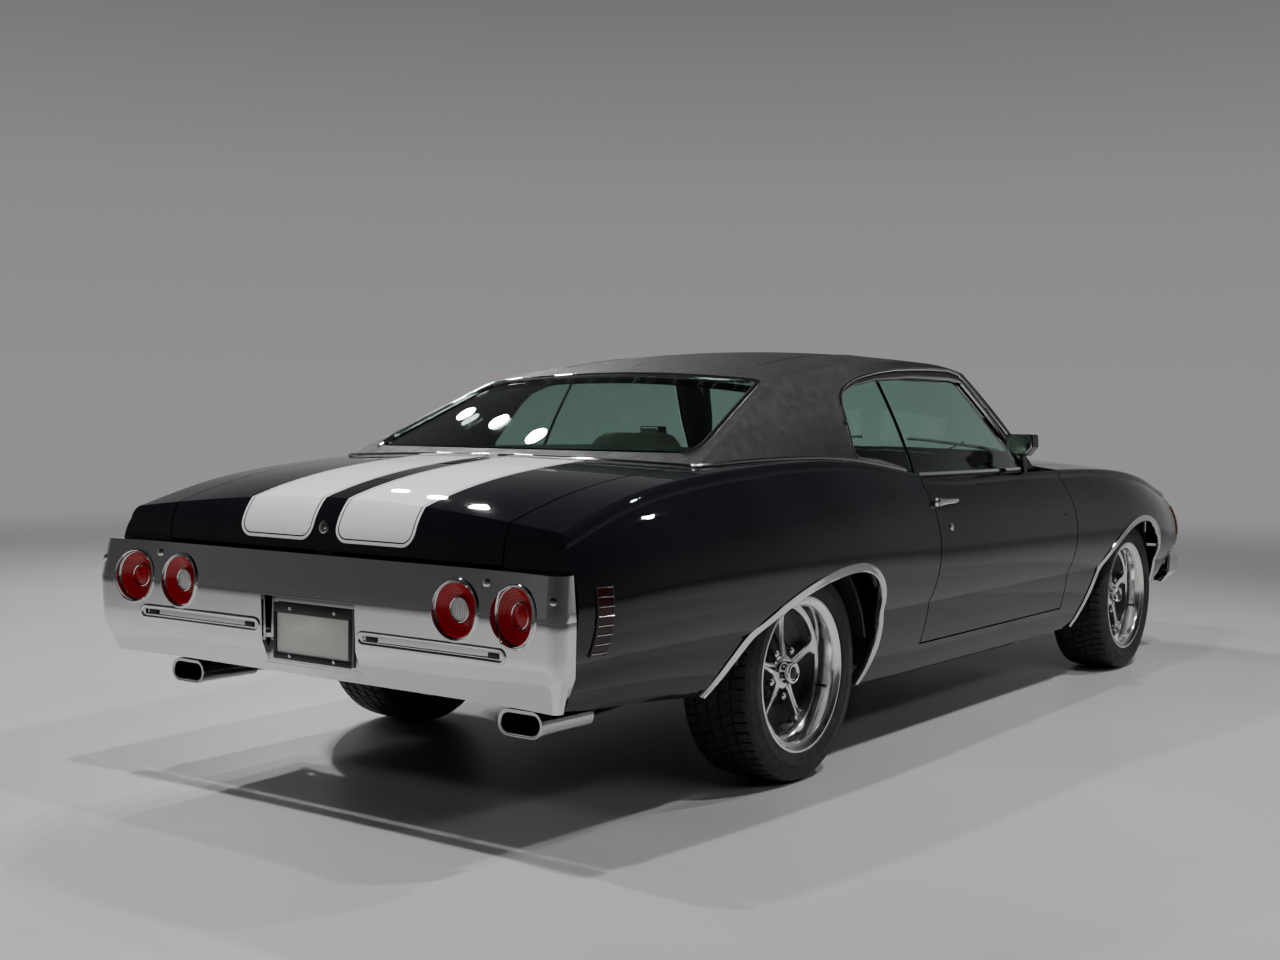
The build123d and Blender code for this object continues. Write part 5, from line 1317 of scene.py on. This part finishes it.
class COUPE_OT_cabin(bpy.types.Operator):
    """Carpet, headliner, parcel shelf, dash instruments, steering wheel hub, inner mirror and visors"""

    bl_idname = "coupe.cabin"
    bl_label = "Cabin"

    def execute(self, context):
        self.skin("floor_pan", "cabin_carpet", "carpet", 0.0035, "trim",
                  lambda n, c: n.z > 0.25 and -1.05 < c.x < 0.700 and c.z < 0.50 and abs(c.y) < 0.72)
        self.skin("roof", "headliner", "headliner_cloth", 0.004, "trim",
                  lambda n, c: n.z < -0.5 and -1.0 < c.x < 0.36 and c.z > 1.15 and abs(c.y) < 0.62)
        self.skin("deck_panel", "parcel_shelf", "dash_black", 0.003, "dash", lambda n, c: n.z > 0.6,
                  SHELF_SIDES)

        shape = bmesh.new()
        for profile, x, steps, places in ((DIAL, 0.4335, 40, (0.405, 0.285)),
                                          (GAUGE, 0.4335, 32, (0.145, 0.215, 0.485))):
            for y in places:
                add_spin(shape, profile, (x, y, DIAL_Z), DASH_FACING, steps, 1, closed=False)
        # radio with its face, glove box lid and the bright strip over it
        for low, high, bevel, segments, material in (
                ((0.4255, -0.110, 0.700), (0.4400, 0.080, 0.760), 0.004, 2, 2),
                ((0.4225, -0.095, 0.712), (0.4300, 0.065, 0.748), 0.003, 2, 1),
                ((0.4180, -0.585, 0.690), (0.4400, -0.190, 0.788), 0.006, 3, 0),
                ((0.4165, -0.560, 0.796), (0.4330, -0.160, 0.806), 0.003, 2, 1)):
            add_block(shape, low, high, bevel, segments, material=material)
        for y in (-0.590, 0.585):
            add_spin(shape, OUTLET, (0.4330, y, DIAL_Z), DASH_FACING, 32, 1, closed=False)
        finished("dash_fittings", shape, ["dash_black", "bright_chrome", "frame_black"], "body")

        shape = bmesh.new()
        axis = Vector((-0.258, 0, 0.097)).normalized()
        centre = Vector((0.262, 0.345, 0.842)) + axis * 0.030
        add_spin(shape, HORN_PAD, centre, axis, 40, closed=False)
        add_spin(shape, HORN_RING, centre, axis, 40, 1)
        finished("steering_hub", shape, ["dash_black", "bright_chrome"], "steering_wheel")

        shape = bmesh.new()
        hang, _ = on_surface(("roof",), (0.235, 0.0, 1.0), (0, 0, 1))
        add_rod(shape, hang - Vector((0, 0, 0.002)), hang + Vector((0.015, 0, -0.055)), 0.006, 12)
        add_block(shape, (hang.x - 0.002, -0.125, hang.z - 0.098), (hang.x + 0.022, 0.125, hang.z - 0.045),
                  0.009, 3)
        add_block(shape, (hang.x - 0.0032, -0.118, hang.z - 0.092),
                  (hang.x - 0.0012, 0.118, hang.z - 0.051), material=1)
        finished("inner_mirror", shape, ["bright_chrome", "mirror_silver"], "body")
        for side, word in SIDES:
            shape = bmesh.new()
            y = side * 0.33     # middle of the visor
            place, _ = on_surface(("roof",), (0.10, y, 1.0), (0, 0, 1))
            add_block(shape, (0.02, y - 0.19, place.z - 0.034), (0.19, y + 0.19, place.z - 0.016), 0.007, 3,
                      turn=Matrix.Rotation(math.radians(5), 4, "Y"))
            finished("sun_visor_" + word, shape, "headliner_cloth", "body")
        return {"FINISHED"}

    def skin(self, node, name, material, lift, slot, wanted, cuts=()):
        """A thin cover laid on some faces of a CAD node, chosen by normal and middle."""
        shape = merged(node)
        bmesh.ops.delete(shape, geom=[f for f in shape.faces
                                      if not wanted(f.normal, f.calc_center_median())],
                         context="FACES")
        for place, facing in cuts:
            bmesh.ops.bisect_plane(shape, geom=shape.verts[:] + shape.edges[:] + shape.faces[:],
                                   plane_co=place, plane_no=facing, clear_outer=True)
        bmesh.ops.solidify(shape, geom=shape.faces[:], thickness=-lift)
        finished(name, shape, material, "body", 50.0)


# Sections of the air cleaner and its nut, as (distance up, radius), and where they stand.
AIR_CLEANER = ((0.0, 0.0), (0.0, 0.150), (0.006, 0.166), (0.014, 0.168), (0.016, 0.156), (0.050, 0.156),
               (0.052, 0.168), (0.060, 0.166), (0.068, 0.150), (0.074, 0.030), (0.074, 0.0))
CLEANER_NUT = ((0.073, 0.0), (0.073, 0.016), (0.086, 0.012), (0.088, 0.0))
CLEANER_PLACE = (1.400, 0, 0.781)
# Rear springs.
SPRING_POINTS_A_TURN, SPRING_POINTS = 16, 110
SPRING_RADIUS, SPRING_WIRE = 0.052, 0.007


class COUPE_OT_engine_bay(bpy.types.Operator):
    """Air cleaner, rocker covers, battery and springs"""

    bl_idname = "coupe.engine_bay"
    bl_label = "Engine bay and springs"

    def execute(self, context):
        shape = bmesh.new()
        for section, steps in ((AIR_CLEANER, 64), (CLEANER_NUT, 24)):
            add_spin(shape, section, CLEANER_PLACE, (0, 0, 1), steps, closed=False)
        for side in (1, -1):
            low, high = sorted((side * 0.185, side * 0.285))
            add_block(shape, (1.130, low, 0.772), (1.640, high, 0.832), 0.020, 3)
        add_bright("engine_bright_parts", shape)
        shape = bmesh.new()
        add_block(shape, (1.930, 0.270, 0.580), (2.130, 0.430, 0.760), 0.010, 2)
        for x in (1.985, 2.075):
            add_rod(shape, (x, 0.350, 0.755), (x, 0.350, 0.775), 0.010, 16)
        finished("battery", shape, "frame_black", "body")
        shape = bmesh.new()
        for side in (1, -1):
            points = []
            for k in range(SPRING_POINTS):
                angle = math.tau * k / SPRING_POINTS_A_TURN
                points.append((AXLE_REAR_X + 0.110 + SPRING_RADIUS * math.cos(angle),
                               side * 0.350 + SPRING_RADIUS * math.sin(angle),
                               0.330 + 0.130 * k / SPRING_POINTS))
            rings = []
            for before, point, after in zip(points[:1] + points, points, points[1:] + points[-1:]):
                ahead = Vector(after) - Vector(before)
                sideways = ahead.cross(Vector((0, 0, 1)))
                rings.append(oval(point, sideways.normalized(), ahead.cross(sideways).normalized(),
                                  SPRING_WIRE, SPRING_WIRE, 8))
            add_loft(shape, rings)
        finished("rear_springs", shape, "underbody_black", "body", 60.0)
        return {"FINISHED"}


# ---------------------------------------------------------------- stage and finishes


HORIZON = 0.30                 # brightness of the far backdrop
SKY = ((0.0, 1.0), (0.14, 0.88), (0.34, 0.36), (0.62, 0.06))   # its share at the sine of each height
FLOOR_FADE = (4.5, 14.0)       # between these distances the floor turns into the backdrop
SPOTS = ((-2.6, 1.9), (-2.6, -0.4), (2.95, 6.04), (2.28, 4.97), (1.65, 3.95), (-0.4, -2.6), (1.8, -2.4))
SPOT_Z = 4.6
CAMERA_PLACE = (-5.4044, -3.2576, 1.0924)
CAMERA_ANGLES = (36.18, -2.24, 0.62)   # yaw, pitch and roll, in degrees


class COUPE_OT_stage(bpy.types.Operator):
    """Pale floor, soft studio light and the camera"""

    bl_idname = "coupe.stage"
    bl_label = "Stage"

    def execute(self, context):
        shape = bmesh.new()
        bmesh.ops.create_grid(shape, x_segments=1, y_segments=1, size=150.0)
        mesh = bpy.data.meshes.new("studio_floor")
        shape.to_mesh(mesh)
        shape.free()
        floor = bpy.data.objects.new("studio_floor", mesh)
        context.scene.collection.objects.link(floor)
        look = Finish("studio_floor", (0.42, 0.42, 0.41), 0.34, Specular_IOR_Level=0.4)
        look.feed("Base Color", look.ramp(look.noise(0.7, 4.0), [(0.3, (0.40, 0.398, 0.394)),
                                                                 (0.8, (0.47, 0.467, 0.458))]))
        glow = look.node("Emission", Color=look.math("MULTIPLY", self.turned(look), HORIZON), Strength=1.0)
        far = look.node("MapRange", interpolation_type="SMOOTHSTEP", From_Min=FLOOR_FADE[0],
                        From_Max=FLOOR_FADE[1],
                        Value=look.reckon("VectorMath", "LENGTH", look.place)["Value"])
        blend = look.node("MixShader", Fac=far.outputs["Result"])
        look.put(blend.inputs[1], look.shader.outputs[0])
        look.put(blend.inputs[2], glow.outputs[0])
        look.put(look.tree.nodes["Material Output"].inputs["Surface"], blend.outputs[0])
        mesh.materials.append(look.material)

        world = bpy.data.worlds.new("studio")
        context.scene.world = world
        world.use_nodes = True
        back = world.node_tree.nodes["Background"]
        air = Wiring(world.node_tree, "Generated")
        height = air.ramp(air.split()["Z"], [(rise, HORIZON * share) for rise, share in SKY])
        air.put(back.inputs["Color"], air.math("MULTIPLY", height, self.turned(air)))
        back.inputs["Strength"].default_value = 1.0

        for index, (x, y) in enumerate(SPOTS):
            self.lamp("spot_%d" % index, (x, y, SPOT_Z), (x * 0.5, y * 0.3, 0.4), 0.18, 0.18, 105.0, "DISK")
        self.lamp("side_light", (-1.0, -6.5, 4.6), (0, 0, 0.3), 7.0, 0.5, 85.0)
        self.lamp("tail_light", (-7.5, 2.0, 4.4), (-1.5, 0, 0.4), 4.0, 0.5, 55.0)
        self.lamp("far_light", (-1.0, 7.5, 6.5), (0, 0, 0.5), 7.0, 0.8, 170.0)

        data = bpy.data.cameras.new("camera")
        data.lens = 44.4
        data.sensor_width = 36.0
        data.clip_end = 500.0
        camera = bpy.data.objects.new("camera", data)
        yaw, pitch, roll = (math.radians(angle) for angle in CAMERA_ANGLES)
        ahead = Vector((math.cos(pitch) * math.cos(yaw), math.cos(pitch) * math.sin(yaw), math.sin(pitch)))
        right = Vector((math.sin(yaw), -math.cos(yaw), 0.0))
        above = right.cross(ahead)
        across = right * math.cos(roll) + above * math.sin(roll)
        upward = above * math.cos(roll) - right * math.sin(roll)
        turn = Matrix((across, upward, -ahead)).transposed()
        camera.matrix_world = Matrix.Translation(CAMERA_PLACE) @ turn.to_4x4()
        context.scene.collection.objects.link(camera)
        context.scene.camera = camera
        return {"FINISHED"}

    def turned(self, look):
        """Share of the horizon's light by direction: full ahead of the camera's side, less behind it."""
        flat = look.reckon("VectorMath", "MULTIPLY", look.place, (1.0, 1.0, 0.0))["Vector"]
        unit = look.reckon("VectorMath", "NORMALIZE", flat)["Vector"]
        along = look.reckon("VectorMath", "DOT_PRODUCT", unit, (0.81, 0.59, 0.0))["Value"]
        return look.node("MapRange", interpolation_type="SMOOTHSTEP", Value=along, From_Min=-0.22,
                         From_Max=0.86, To_Min=0.22, To_Max=1.0).outputs["Result"]

    def lamp(self, name, place, aim, length, width, power, shape="RECTANGLE"):
        """An area lamp. Only the round ones show in what reflects."""
        data = bpy.data.lights.new(name, "AREA")
        data.shape = shape
        data.size = length
        data.size_y = width
        data.energy = power
        made = bpy.data.objects.new(name, data)
        made.location = place
        made.rotation_euler = (Vector(aim) - Vector(place)).to_track_quat("-Z", "Y").to_euler()
        made.visible_glossy = shape == "DISK"
        bpy.context.scene.collection.objects.link(made)


NODE_FINISH = {
    "vinyl": "vinyl_roof_cover",
    "glass": "tinted_glass",
    "paint": "gloss_black_paint",
    "chrome": "bright_chrome",
    "lamp_red": "red_lens",
    "lamp_clear": "clear_lens",
    "plate": "plate_face",
    "underbody": "underbody_black",
    "iron": "cast_iron",
    "steel": "stainless_exhaust",
    "trim": "seat_vinyl",
    "dash": "dash_black",
    "tyre": "tyre_rubber",
    "wheel": "polished_alloy",
}


SPECIAL_FINISH = {
    "boot_lid": "striped_lid_paint",
    "deck_panel": "striped_top_paint",
    "hood": "striped_top_paint",
    "cowl_panel": "striped_top_paint",
    "grille": "grille_black",
    "rear_bumper": "bumper_chrome",
}


class COUPE_OT_finishes(bpy.types.Operator):
    """Gives every CAD piece its finish"""

    bl_idname = "coupe.finishes"
    bl_label = "Finishes"

    def execute(self, context):
        for node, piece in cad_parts.items():
            for index, slot in enumerate(piece.data.materials):
                name = SPECIAL_FINISH.get(node) or NODE_FINISH[slot.name.split(".")[0]]
                piece.data.materials[index] = finishes()[name]
        return {"FINISHED"}


CLASSES = (CoupePaint, CoupeWheels, COUPE_OT_stage, COUPE_OT_finishes, COUPE_OT_tyres, COUPE_OT_wheels,
           COUPE_OT_mouldings, COUPE_OT_tail_lamps, COUPE_OT_tail_details, COUPE_OT_door_fittings,
           COUPE_OT_nose_details, COUPE_OT_seats, COUPE_OT_cabin, COUPE_OT_engine_bay)
STEPS = ("stage", "finishes", "tyres", "wheels", "mouldings", "tail_lamps", "tail_details", "door_fittings",
         "nose_details", "seats", "cabin", "engine_bay")


class COUPE_PT_panel(bpy.types.Panel):
    """The coupe's pieces"""

    bl_idname = "COUPE_PT_panel"
    bl_label = "Coupe"
    bl_space_type = "VIEW_3D"
    bl_region_type = "UI"
    bl_category = "Coupe"

    def draw(self, context):
        for group in (context.scene.coupe_paint, context.scene.coupe_wheels):
            for key in group.__annotations__:
                self.layout.prop(group, key)
        for step in STEPS:
            self.layout.operator("coupe." + step)


def register():
    for one in (*CLASSES, COUPE_PT_panel):
        bpy.utils.register_class(one)
    bpy.types.Scene.coupe_paint = bpy.props.PointerProperty(type=CoupePaint)
    bpy.types.Scene.coupe_wheels = bpy.props.PointerProperty(type=CoupeWheels)


def unregister():
    del bpy.types.Scene.coupe_wheels
    del bpy.types.Scene.coupe_paint
    for one in reversed((*CLASSES, COUPE_PT_panel)):
        bpy.utils.unregister_class(one)


def main():
    register()
    for step in STEPS:
        getattr(bpy.ops.coupe, step)()


if __name__ == "__main__":
    main()
